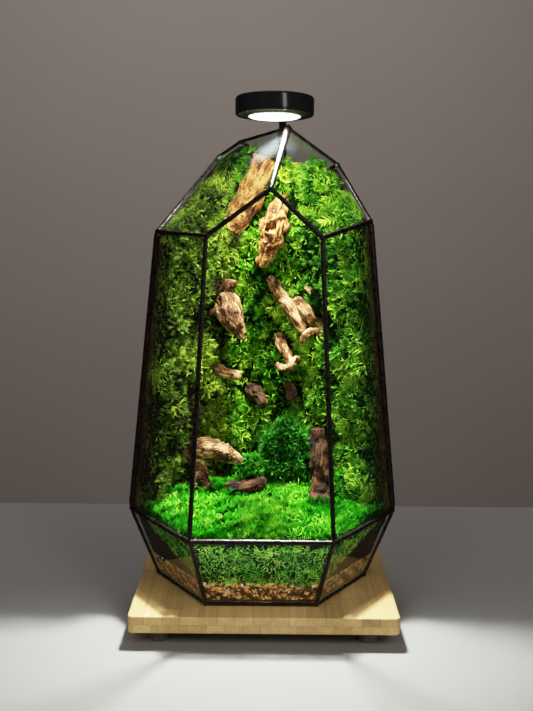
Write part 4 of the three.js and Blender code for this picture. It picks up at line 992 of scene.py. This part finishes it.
# %% Geometry nodes that grow a cover
def growing_tree():
    tree = bpy.data.node_groups.new("grow a cover", "GeometryNodeTree")
    sockets = [
        ("Bed", "Geometry", None),
        ("Members", "Collection", None),
        ("Finish", "Material", None),
        ("Per square metre", "Float", 1000.0),
        ("Smallest", "Float", 0.01),
        ("Largest", "Float", 0.02),
        ("Disorder", "Float", 0.6),
        ("Clump size", "Float", 0.03),
        ("Clumping", "Float", 0.0),
        ("Lean", "Vector", (0.0, 0.0, 0.0)),
        ("Seed", "Int", 0),
    ]
    for label, kind, value in sockets:
        socket = tree.interface.new_socket(label, in_out="INPUT", socket_type="NodeSocket" + kind)
        if value is not None:
            socket.default_value = value
    tree.interface.new_socket("Cover", in_out="OUTPUT", socket_type="NodeSocketGeometry")
    given = put(tree, "NodeGroupInput").outputs

    def chance(kind, low, high, shift):
        """A random value for each point, from the tree's seed and a shift of its own."""
        first = {"FLOAT_VECTOR": 0, "FLOAT": 2, "INT": 4}[kind]
        seed = math_of(tree, "ADD", given["Seed"], float(shift))
        drawn = put(tree, "FunctionNodeRandomValue", {first: low, first + 1: high, 8: seed}, data_type=kind)
        return drawn.outputs[first // 2]

    def vectors(operation, inputs):
        return put(tree, "ShaderNodeVectorMath", inputs, operation=operation).outputs[0]

    per_metre = math_of(tree, "DIVIDE", 1.0, given["Clump size"])
    patches = put(tree, "ShaderNodeTexNoise", {"Scale": per_metre, "Detail": 2.0}).outputs["Fac"]
    clump = range_of(tree, patches, 0.38, 0.60)
    thinned = math_of(tree, "MULTIPLY", math_of(tree, "SUBTRACT", 1.0, clump), given["Clumping"])
    share = math_of(tree, "SUBTRACT", 1.0, thinned)
    density = math_of(tree, "MULTIPLY", given["Per square metre"], share)
    scatter = {"Mesh": given["Bed"], "Density": density, "Seed": given["Seed"]}
    points = put(tree, "GeometryNodeDistributePointsOnFaces", scatter, distribute_method="RANDOM").outputs
    drawn_size = chance("FLOAT", given["Smallest"], given["Largest"], 14)
    member_size = math_of(tree, "MULTIPLY", drawn_size, math_of(tree, "MULTIPLY_ADD", share, 0.5, 0.5))
    member_tone = math_of(tree, "MULTIPLY_ADD", clump, 0.3, chance("FLOAT", 0.0, 0.7, 15))
    anywhere = chance("FLOAT_VECTOR", (-1, -1, -1), (1, 1, 1), 11)
    stir = vectors("SCALE", {0: anywhere, "Scale": given["Disorder"]})
    aim = vectors("ADD", {0: vectors("ADD", {0: points["Normal"], 1: given["Lean"]}), 1: stir})
    rise = put(tree, "FunctionNodeAlignRotationToVector", {"Vector": aim}, axis="Z").outputs[0]
    spin = {"Axis": (0, 0, 1), "Angle": chance("FLOAT", 0.0, 2 * math.pi, 12)}
    turn = {"Rotation": rise, "Rotate By": put(tree, "FunctionNodeAxisAngleToRotation", spin).outputs[0]}
    kinds = {"Collection": given["Members"], "Separate Children": True, "Reset Children": True}
    planting = {
        "Points": points["Points"],
        "Instance": put(tree, "GeometryNodeCollectionInfo", kinds).outputs[0],
        "Pick Instance": True,
        "Instance Index": chance("INT", 0, 2, 13),
        "Rotation": put(tree, "FunctionNodeRotateRotation", turn, rotation_space="LOCAL").outputs[0],
        "Scale": member_size,
    }
    planted = put(tree, "GeometryNodeInstanceOnPoints", planting).outputs[0]
    tone = {"Geometry": planted, "Name": "tone", "Value": member_tone}
    toned = put(tree, "GeometryNodeStoreNamedAttribute", tone, data_type="FLOAT", domain="INSTANCE")
    real = put(tree, "GeometryNodeRealizeInstances", {"Geometry": toned.outputs[0]}).outputs[0]
    dressed = put(tree, "GeometryNodeSetMaterial", {"Geometry": real, "Material": given["Finish"]}).outputs[0]
    put(tree, "NodeGroupOutput", {"Cover": dressed})
    return tree


cover_tree = growing_tree()
cover_sockets = [item for item in cover_tree.interface.items_tree if item.in_out == "INPUT"]
cover_inputs = {socket.name: socket.identifier for socket in cover_sockets}


def grow(name, bed, **values):
    """Grows a cover over a bed and returns it as a plain mesh; the bed object is used up."""
    modifier = bed.modifiers.new("grow", "NODES")
    modifier.node_group = cover_tree
    for label, value in values.items():
        modifier[cover_inputs[label.replace("_", " ")]] = value
    return keep_mesh(bed, name)


print("the tree has", len(cover_tree.nodes), "nodes")

# %% [markdown]
# A bed is the part of a node's skin that moss grows on: the faces that look into the jar or up, and those
# next to the glass where moss is pressed against it. What would pass through a pane is squeezed into the last
# few millimetres behind it, as the real moss is. A member that would bury or hide a piece of driftwood is
# taken out, as a gardener trims around the wood.

# %% Beds, and keeping clear of glass and wood
GLASS_CLEARANCE = 1.5 * MM  # from a pane's middle, so half a millimetre from its face
SQUEEZE_DEPTH = 7 * MM
ROOT_REACH = 0.5 * MM  # of the wood, within which nothing grows
SIGHT_REACH = 60 * MM  # how far before the wood moss still hides it
TRIMMED_SHARE = 0.93  # of the members that hide the wood


def press_behind_glass(points, clearance=GLASS_CLEARANCE, depth=SQUEEZE_DEPTH):
    """Points nearer to a pane than depth, or past it, are squeezed smoothly behind it."""
    room_left = depth - clearance
    for centre, normal in planes:
        distance = (points - centre) @ normal
        squeezed = clearance + room_left * np.exp(np.minimum(distance - depth, 0) / room_left)
        points = points + np.where(distance < depth, squeezed - distance, 0)[:, None] * normal
    return points


def bed_of(source, keep):
    """A copy of source with only the faces for which keep(centre, normal) holds."""
    skin = bmesh.new()
    skin.from_mesh(source.data)
    skin.normal_update()
    drop = [face for face in skin.faces if not keep(face.calc_center_median(), face.normal)]
    bmesh.ops.delete(skin, geom=drop, context="FACES")
    return add_object("bed", mesh_from(skin, "bed"))


def outwardness(centre, normal):
    """1 for a face that looks straight away from the jar's axis, -1 for one that looks at it."""
    return normal.dot(Vector((centre.x, centre.y - JAR_AXIS_Y, 0)).normalized())


wood_skins = [
    BVHTree.FromPolygons([v.co for v in piece.data.vertices], [p.vertices for p in piece.data.polygons])
    for piece in wood_pieces
]


def near_wood(point, reach):
    return any(skin.find_nearest(point, reach)[0] is not None for skin in wood_skins)


def before_wood(point):
    """True where the point stands in front of a piece of wood, seen through the window."""
    ray = (point - CAMERA_PLACE).normalized()
    return any(skin.ray_cast(point, ray, SIGHT_REACH)[0] is not None for skin in wood_skins)


def trim(cover, member_points, wood_reach, seed):
    """Presses members behind the glass and takes out those that would hide the driftwood."""
    mesh = cover.data
    set_points(mesh, press_behind_glass(points_of(mesh)))
    members = points_of(mesh).reshape(-1, member_points, 3)
    luck = np.random.default_rng(seed).uniform(size=len(members))
    drop = np.zeros(len(members), dtype=bool)
    for i, points in enumerate(members):
        root, middle, top = Vector(points[0]), Vector(points.mean(axis=0)), Vector(points[-1])
        touching = near_wood(middle, wood_reach) or near_wood(top, wood_reach)
        hiding = luck[i] < TRIMMED_SHARE and (before_wood(middle) or before_wood(top))
        drop[i] = touching or hiding or near_wood(root, ROOT_REACH)
    skin = bmesh.new()
    skin.from_mesh(mesh)
    skin.verts.ensure_lookup_table()
    gone = [skin.verts[k] for k in np.flatnonzero(np.repeat(drop, member_points)).tolist()]
    bmesh.ops.delete(skin, geom=gone, context="VERTS")
    skin.to_mesh(mesh)
    skin.free()
    return int(drop.sum())


print("driftwood to keep clear of:", len(wood_skins))

# %% [markdown]
# Moss is darkest deep in the mat and brightest at the tips. The attribute along gives that: the colour runs
# from a near-black deep colour to the fresh one, partly the moss's own older and younger growth and partly
# painted shade deep in the mat. Tone makes neighbours differ, and noise gives the patches of yellower growth.
# The brightest tips are mixed towards a pale yellow, a painted highlight. The wall moss on the right dims
# towards the side, as it does
# in the photograph: that is painted shade, where the lamp's light hardly reaches.

# %% Moss material
PAINTED_SHADE_WIDTH = 0.025
PAINTED_SHADE_SHARE = 0.72
MOSSES = {
    # deep, fresh and yellow colour, scale and bias of the patches, and where its painted shade starts
    "back wall moss": ((0.001, 0.008, 0.001), (0.058, 0.34, 0.004), (0.50, 0.80, 0.040), 26.0, 0.63),
    "left wall moss": ((0.002, 0.004, 0.001), (0.060, 0.130, 0.004), (0.26, 0.40, 0.018), 22.0, 0.60),
    "right wall moss": ((0.001, 0.006, 0.001), (0.052, 0.23, 0.005), (0.30, 0.58, 0.026), 24.0, 0.61, 0.108),
    "carpet moss": ((0.001, 0.015, 0.001), (0.018, 0.47, 0.002), (0.09, 0.72, 0.010), 60.0, 0.60),
    "fringe moss": ((0.002, 0.014, 0.001), (0.035, 0.40, 0.003), (0.26, 0.66, 0.03), 50.0, 0.60),
    "mound moss": ((0.001, 0.008, 0.001), (0.012, 0.13, 0.003), (0.04, 0.26, 0.006), 30.0, 0.62),
    "cushion moss": ((0.001, 0.015, 0.001), (0.03, 0.30, 0.005), (0.12, 0.46, 0.02), 40.0, 0.62),
    "moss behind glass": ((0.001, 0.016, 0.001), (0.080, 0.52, 0.016), (0.50, 0.92, 0.10), 40.0, 0.55),
    "old pressed moss": ((0.003, 0.002, 0.001), (0.045, 0.036, 0.006), (0.14, 0.13, 0.016), 30.0, 0.55),
}


def moss(name, deep, fresh, yellow, patch_scale, patch_bias, painted_shade_from=1.0):
    """A moss colour with a painted highlight at its palest tips; it darkens by painted shade over a set
    width, from the last argument, a distance in metres from the middle plane.
    """
    material, tree, skin, place = new_material(name)
    tone = attribute_of(tree, "tone")
    level = math_of(tree, "MULTIPLY_ADD", tone, 0.55, attribute_of(tree, "along"))
    rise = range_of(tree, level, 0.42, 1.30)
    patches = math_of(tree, "MULTIPLY_ADD", tone, 0.22, noise_of(tree, place, patch_scale, 3.0))
    warm = math_of(tree, "MULTIPLY", range_of(tree, patches, patch_bias, patch_bias + 0.22), rise)
    # From the near-black deep colour to the fresh one: partly older and younger growth, partly painted shade
    # deep in the mat.
    color = mix_of(tree, warm, mix_of(tree, rise, deep, fresh), yellow)
    # The palest tips turn pale yellow: a painted highlight.
    painted_highlight_tint = [min(1.0, 1.35 * c + 0.035) for c in yellow]
    with_painted_highlight = mix_of(tree, range_of(tree, level, 1.20, 1.70, 0.0, 0.75), color, painted_highlight_tint)
    # Painted shade darkens the moss towards the side, where the lamp's light hardly reaches.
    sideways = put(tree, "ShaderNodeSeparateXYZ", {"Vector": place}).outputs["X"]
    dim = range_of(tree, sideways, painted_shade_from, painted_shade_from + PAINTED_SHADE_WIDTH, 0.0, PAINTED_SHADE_SHARE)
    feed(tree, skin, {"Base Color": mix_of(tree, dim, with_painted_highlight, (0.010, 0.012, 0.003))})
    feed(tree, skin, {"Roughness": 0.6, "Specular IOR Level": 0.07})
    return material


mosses = {name: moss(name, *look) for name, look in MOSSES.items()}
print(len(mosses), "mosses")

# %% [markdown]
# Under the sprays lies the old brown-green mat. It is the node's own form in small even faces, roughened and
# raised in clumps, so that a gap between sprays shows a dark, uneven mat and not a smooth core. Its
# near-black colours are partly the old growth's own and partly painted shade in the gaps. Over it grow short
# sprays, then longer ones in clumps, then curls.

# %% Wall moss
def old_mat(name, dark, light):
    material, tree, skin, place = new_material(name)
    fluff = noise_of(tree, place, 420.0, 8.0)
    feed(tree, skin, {"Base Color": ramp_of(tree, fluff, (0.38, dark), (0.68, light))})
    feed(tree, skin, {"Normal": bump_of(tree, fluff, 1.0, 2 * MM)})
    feed(tree, skin, {"Roughness": 0.95, "Specular IOR Level": 0.0})
    return material


# These mats are near black: partly the old growth's own colour, partly painted shade between the sprays.
mat_green = old_mat("old green mat", (0.001, 0.004, 0.001), (0.008, 0.030, 0.003))
mat_bright = old_mat("young green mat", (0.001, 0.006, 0.001), (0.004, 0.045, 0.001))
mat_brown = old_mat("old brown mat", (0.003, 0.002, 0.001), (0.020, 0.018, 0.005))


WOOD_MARGIN = 6 * MM
CLUMP_RISE = Vector((0, 0, 0.35))  # how much a clump goes up, for one out from the wall
FINER, FINE_SHARE = 2.3, 0.45  # a second noise breaks up the clumps
STEEPNESS = 2.2
MAT_WAVER = 1.6 * MM
MAT_WAVES_PER_METRE = 260
MAT_CLEARANCE, MAT_SQUEEZE = 1.9 * MM, 3.2 * MM
WOOD_REACH = 2 * MM  # nearer to the wood no moss grows
CLOSE = 0.5 * MM  # the same for low moss


def clump_up(core, toward, height, size):
    """Raises clumps of about a size in a direction and upwards, except beside the driftwood."""
    mesh = core.data
    points = points_of(mesh)
    lifts = np.zeros((len(points), 3))
    for i, point in enumerate(points):
        place = Vector(point)
        swell = noise.noise(place / size) + FINE_SHARE * noise.noise(place * FINER / size)
        if mesh.vertices[i].normal.dot(toward) > -0.2 and swell > 0 and not near_wood(place, WOOD_MARGIN):
            lifts[i] = (toward + CLUMP_RISE) * min(1.0, STEEPNESS * swell) * height
    set_points(mesh, points + lifts)


def moss_core(node_name, material, face=3.2 * MM, toward=None, height=11 * MM, size=30 * MM):
    """The old mat in a moss node's place, with clumps of a height and size where toward is given."""
    core = rounded_copy(node_name, "mat_" + node_name[5:], face, 3)
    if toward is not None:
        clump_up(core, toward, height, size)
    waver(core, MAT_WAVER, MAT_WAVES_PER_METRE)
    set_points(core.data, press_behind_glass(points_of(core.data), MAT_CLEARANCE, MAT_SQUEEZE))
    finish_piece(core, material, node_name)
    return core


def cover_piece(name, core, keep, members, finish, density, sizes, seed, wood_reach=WOOD_REACH, **values):
    """Grows one cover over the faces of a core that keep picks, and trims it."""
    values.update(Members=members, Finish=finish, Per_square_metre=density, Seed=seed)
    values.update(Smallest=sizes[0], Largest=sizes[1])
    cover = grow(name, bed_of(core, keep), **values)
    dropped = trim(cover, len(members.objects[0].data.vertices), wood_reach, seed)
    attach(cover, "root")
    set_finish(cover, core.get("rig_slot", slots.get(core.name)))
    print(name, len(cover.data.polygons), "faces,", dropped, "members trimmed")


def into_the_jar(inward):
    """A test for the faces that don't look at the pane behind them."""
    return lambda centre, normal: normal.dot(inward) > -0.7


WALLS = {
    # moss, mat, seed, the pane behind
    "back": (mosses["back wall moss"], mat_green, 101, "glass_wall_back"),
    "left": (mosses["left wall moss"], mat_brown, 102, "glass_wall_back_left"),
    "right": (mosses["right wall moss"], mat_green, 103, "glass_wall_back_right"),
}
WALL_LAYERS = [
    # name, members, density, sizes, clumping, shift of the seed
    ("under", sprays, 30000.0, (0.008, 0.013), 0.4, 0),
    ("sprays", sprays, 20000.0, (0.012, 0.021), 0.92, 10),
    ("curls", curls, 34000.0, (0.008, 0.016), 0.85, 20),
]
wall_cores = {}
for side, (finish, mat, seed, pane) in WALLS.items():
    inward = Vector(pane_plane(pane)[1])
    core = wall_cores[side] = moss_core("moss_wall_" + side, mat, toward=inward)
    keep = into_the_jar(inward)
    for layer, members, density, sizes, clumping, shift in WALL_LAYERS:
        name = f"moss_{side}_{layer}"
        growth = {"Disorder": 0.85, "Clump_size": 0.045, "Clumping": clumping, "Lean": (0.0, 0.0, 0.1)}
        cover_piece(name, core, keep, members, finish, density, sizes, seed + shift, **growth)

# %% [markdown]
# The topmost moss leans up under the roof panes in longer sprays, with curls between them. At the outer
# corners of the jar, where the fibre board is bent round the solder, old moss is pressed flat behind the
# glass. It leans out sideways and so closes the gap beside the uprights.

# %% Moss under the roof and in the corners
ROOF_REACH = 55 * MM
CORNER_WIDTH = 22 * MM
roof_planes = [pane_plane(name) for name in frame["nodes"] if name.startswith("glass_roof_")]


def under_roof(centre, normal):
    below = min(float((np.array(centre) - place) @ inward) for place, inward in roof_planes)
    return normal.z > 0.0 and below < ROOF_REACH


def at_corner(upright):
    """A test for the outward faces of the board beside one of the solder uprights."""
    low, high = upright_ends(upright)

    def test(centre, normal):
        line = low + (high - low) * (centre.z - low[2]) / (high[2] - low[2])
        return (centre - Vector(line)).length < CORNER_WIDTH and outwardness(centre, normal) > 0.1

    return test


CREST_LAYERS = [
    # name, members, density, sizes, shift of the seed
    ("crest", sprays, 16000.0, (0.016, 0.030), 45),
    ("crest_curls", curls, 38000.0, (0.007, 0.014), 51),
]
for side, (finish, _, seed, _) in WALLS.items():
    core = wall_cores[side]
    growth = {"Disorder": 0.8, "Clump_size": 0.03, "Clumping": 0.75, "Lean": (0.0, 0.0, 0.9)}
    for layer, members, density, sizes, shift in CREST_LAYERS:
        name = f"moss_{side}_{layer}"
        cover_piece(name, core, under_roof, members, finish, density, sizes, seed + shift, **growth)

backing = frame["nodes"]["fern_backing"]
old_moss = mosses["old pressed moss"]
for side, sideways in (("left", -1.6), ("right", 1.6)):
    name = f"moss_in_the_{side}_corner"
    keep = at_corner("came_upright_" + side)
    growth = {"Disorder": 0.8, "Lean": (sideways, 0.0, -0.2)}
    cover_piece(name, backing, keep, sprays, old_moss, 90000.0, (0.006, 0.011), 131, **growth)

# %% [markdown]
# ## Floor moss, mound and cushions
#
# The floor is covered by a vivid low moss of short needles, with a taller yellowish fringe between its
# patches. Stray curls stand out of it, and brown moss is pressed into its edges at the glass. The mound and
# the cushions are raised in small clumps. They have the same kind of needles, denser and darker.

# %% Floor moss and cushions
def looks_up(centre, normal):
    return normal.z > 0.15


def at_edge(centre, normal):
    return outwardness(centre, normal) > 0.35 and normal.z < 0.45


def looks_out(centre, normal):
    return normal.z > -0.55


CARPETS = {"left": ("carpet moss", 201), "middle": ("fringe moss", 202), "right": ("carpet moss", 203)}
FLOOR_LAYERS = [
    # ending, (faces, members, moss if not the carpet's own, density, sizes, seed's shift, wood reach), growth
    (
        "",
        (looks_up, tufts, None, 105000.0, (0.0055, 0.0100), 0, CLOSE),
        {"Disorder": 0.8, "Clump_size": 0.02, "Clumping": 0.35, "Lean": (0.0, 0.0, 0.4)},
    ),
    (
        "_edge",
        (at_edge, sprays, "old pressed moss", 60000.0, (0.005, 0.009), 20, WOOD_REACH),
        {"Disorder": 1.0},
    ),
    (
        "_curls",
        (looks_up, curls, "fringe moss", 26000.0, (0.007, 0.014), 10, CLOSE),
        {"Disorder": 0.6, "Clump_size": 0.05, "Clumping": 0.97, "Lean": (0.0, 0.0, 0.5)},
    ),
]
for side, (own_moss, seed) in CARPETS.items():
    core = moss_core("moss_carpet_" + side, mat_bright, 2.6 * MM)
    for ending, (keep, members, other_moss, density, sizes, shift, reach), growth in FLOOR_LAYERS:
        name = f"moss_floor_{side}{ending}"
        finish = mosses[other_moss or own_moss]
        cover_piece(name, core, keep, members, finish, density, sizes, seed + shift, reach, **growth)

CUSHIONS = {
    # moss, sizes of its needles, seed
    "mound": ("mound moss", (0.004, 0.0075), 301),
    "cushion": ("cushion moss", (0.0035, 0.006), 302),
    "cushion_right": ("fringe moss", (0.005, 0.009), 303),
}
toward_window = Vector((0, -0.7, 0.2))
needle_growth = {"Disorder": 0.5, "Lean": (0.0, 0.0, 0.2)}
curl_growth = {"Disorder": 0.8, "Clump_size": 0.02, "Clumping": 0.6, "Lean": (0.0, 0.0, 0.3)}
for short, (moss_name, (low, high), seed) in CUSHIONS.items():
    core = moss_core("moss_" + short, mat_green, 2.0 * MM, toward_window, 5 * MM, 16 * MM)
    finish = mosses[moss_name]
    name = f"moss_{short}_needles"
    cover_piece(name, core, looks_out, tufts, finish, 120000.0, (low, high), seed, CLOSE, **needle_growth)
    name, sizes = f"moss_{short}_curls", (1.2 * low, 1.5 * high)
    cover_piece(name, core, looks_out, curls, finish, 42000.0, sizes, seed + 10, CLOSE, **curl_growth)

# %% [markdown]
# ## Behind the lower front panes
#
# The moss there is pressed against the glass. Its sprays and curls grow from the face next to the pane, and
# the trim above then pushes them back, which lays them flat along the glass.

# %% Moss behind the lower front panes
def looks_at_glass(centre, normal):
    return outwardness(centre, normal) > 0.3


core = moss_core("moss_front", mat_green, 2.2 * MM)
FRONT_LAYERS = [
    # name, members, moss, density, sizes, seed, disorder, upward lean
    ("sprays", sprays, "mound moss", 24000.0, (0.009, 0.014), 401, 1.2, 0.2),
    ("curls", curls, "moss behind glass", 85000.0, (0.006, 0.011), 402, 1.3, 0.0),
]
for layer, members, moss_name, density, sizes, seed, disorder, upward_lean in FRONT_LAYERS:
    name, finish = "moss_front_" + layer, mosses[moss_name]
    growth = {"Disorder": disorder, "Lean": (0.0, 0.0, upward_lean)}
    cover_piece(name, core, looks_at_glass, members, finish, density, sizes, seed, **growth)

# %% [markdown]
# ## Gravel, soil and the fibre board
#
# The gravel is a bed of rounded pebbles in amber, orange and cream. The solid bed stays as a dark core, and
# pebbles are laid over the sides that show. Crumbs of soil are laid the same way.

# %% Pebbles and crumbs
def pebble(name, seed, flat):
    """A pebble one unit across, lumpy and a little flattened."""
    skin = bmesh.new()
    bmesh.ops.create_icosphere(skin, subdivisions=1, radius=0.5)
    level = skin.verts.layers.float.new("along")
    for vertex in skin.verts:
        lump = 1 + 0.32 * noise.noise(vertex.co * 2.6 + Vector((seed, 0, 0)))
        vertex.co = Vector((vertex.co.x * 1.15, vertex.co.y * 0.92, vertex.co.z * flat)) * lump
        vertex[level] = 1.0
    mesh = mesh_from(skin, name)
    mesh.polygons.foreach_set("use_smooth", [True] * len(mesh.polygons))
    return bpy.data.objects.new(name, mesh)


def stones(name, roughness, *colors):
    """Every stone takes one of the colours by its tone, with fine specks."""
    material, tree, skin, place = new_material(name)
    stops = [(i / len(colors), color) for i, color in enumerate(colors)]
    plain = ramp_of(tree, attribute_of(tree, "tone"), *stops, interpolation="CONSTANT")
    speckled = mix_of(tree, 0.5, plain, noise_of(tree, place, 700.0, 4.0), "OVERLAY")
    feed(tree, skin, {"Base Color": speckled, "Roughness": roughness})
    return material


amber_stones = stones(
    "amber gravel",
    0.3,
    (0.62, 0.22, 0.035),
    (0.86, 0.46, 0.12),
    (0.88, 0.56, 0.19),
    (0.30, 0.11, 0.025),
    (0.76, 0.31, 0.05),
    (0.92, 0.74, 0.42),
    (0.50, 0.26, 0.08),
)
damp_earth = old_mat("damp earth", (0.012, 0.007, 0.004), (0.085, 0.050, 0.026))
wet_sand = old_mat("wet sand", (0.020, 0.008, 0.003), (0.13, 0.052, 0.013))
crumb_earth = stones(
    "soil crumbs", 0.9, (0.060, 0.040, 0.025), (0.12, 0.085, 0.055), (0.030, 0.020, 0.014)
)
pebbles = collect("pebbles", [pebble(f"pebble_{i}", i, 0.7 + 0.1 * i) for i in range(3)])


def on_the_side(centre, normal):
    return abs(normal.z) < 0.75 and outwardness(centre, normal) > 0.3


LAID = {
    # stones, core, density, sizes, seed
    "gravel": (amber_stones, wet_sand, 120000.0, (0.0034, 0.0066), 501),
    "soil": (crumb_earth, damp_earth, 80000.0, (0.0016, 0.0034), 502),
}
for short, (finish, mat, density, sizes, seed) in LAID.items():
    core = rounded_copy(short, short + "_core", 3.0 * MM, 2)
    finish_piece(core, mat, short)
    name = short + "_grains"
    cover_piece(name, core, on_the_side, pebbles, finish, density, sizes, seed, 0.1 * MM, Disorder=0.8)

# %% [markdown]
# The board behind the moss is pressed fern root: coarse dark fibres in every direction. Its node keeps its
# own form, and stretched noise in two directions gives the fibres.

# %% Fibre board
def fern_fibre():
    material, tree, skin, place = new_material("fern fibre")
    heights = []
    for turn, scale in (((0, 0.5, 0.3), (900, 900, 60)), ((0.6, -0.7, 0.9), (700, 60, 700))):
        heights.append(stretched_of(tree, place, scale, 3.0, turn))
    top = math_of(tree, "MAXIMUM", *heights)
    tone = ramp_of(tree, top, (0.45, (0.004, 0.002, 0.0015)), (0.72, (0.050, 0.026, 0.012)))
    feed(tree, skin, {"Base Color": tone, "Normal": bump_of(tree, top, 1.0, 1.2 * MM)})
    feed(tree, skin, {"Roughness": 0.9, "Specular IOR Level": 0.1})
    return material


coat(backing, fern_fibre())
print("fibre board dressed")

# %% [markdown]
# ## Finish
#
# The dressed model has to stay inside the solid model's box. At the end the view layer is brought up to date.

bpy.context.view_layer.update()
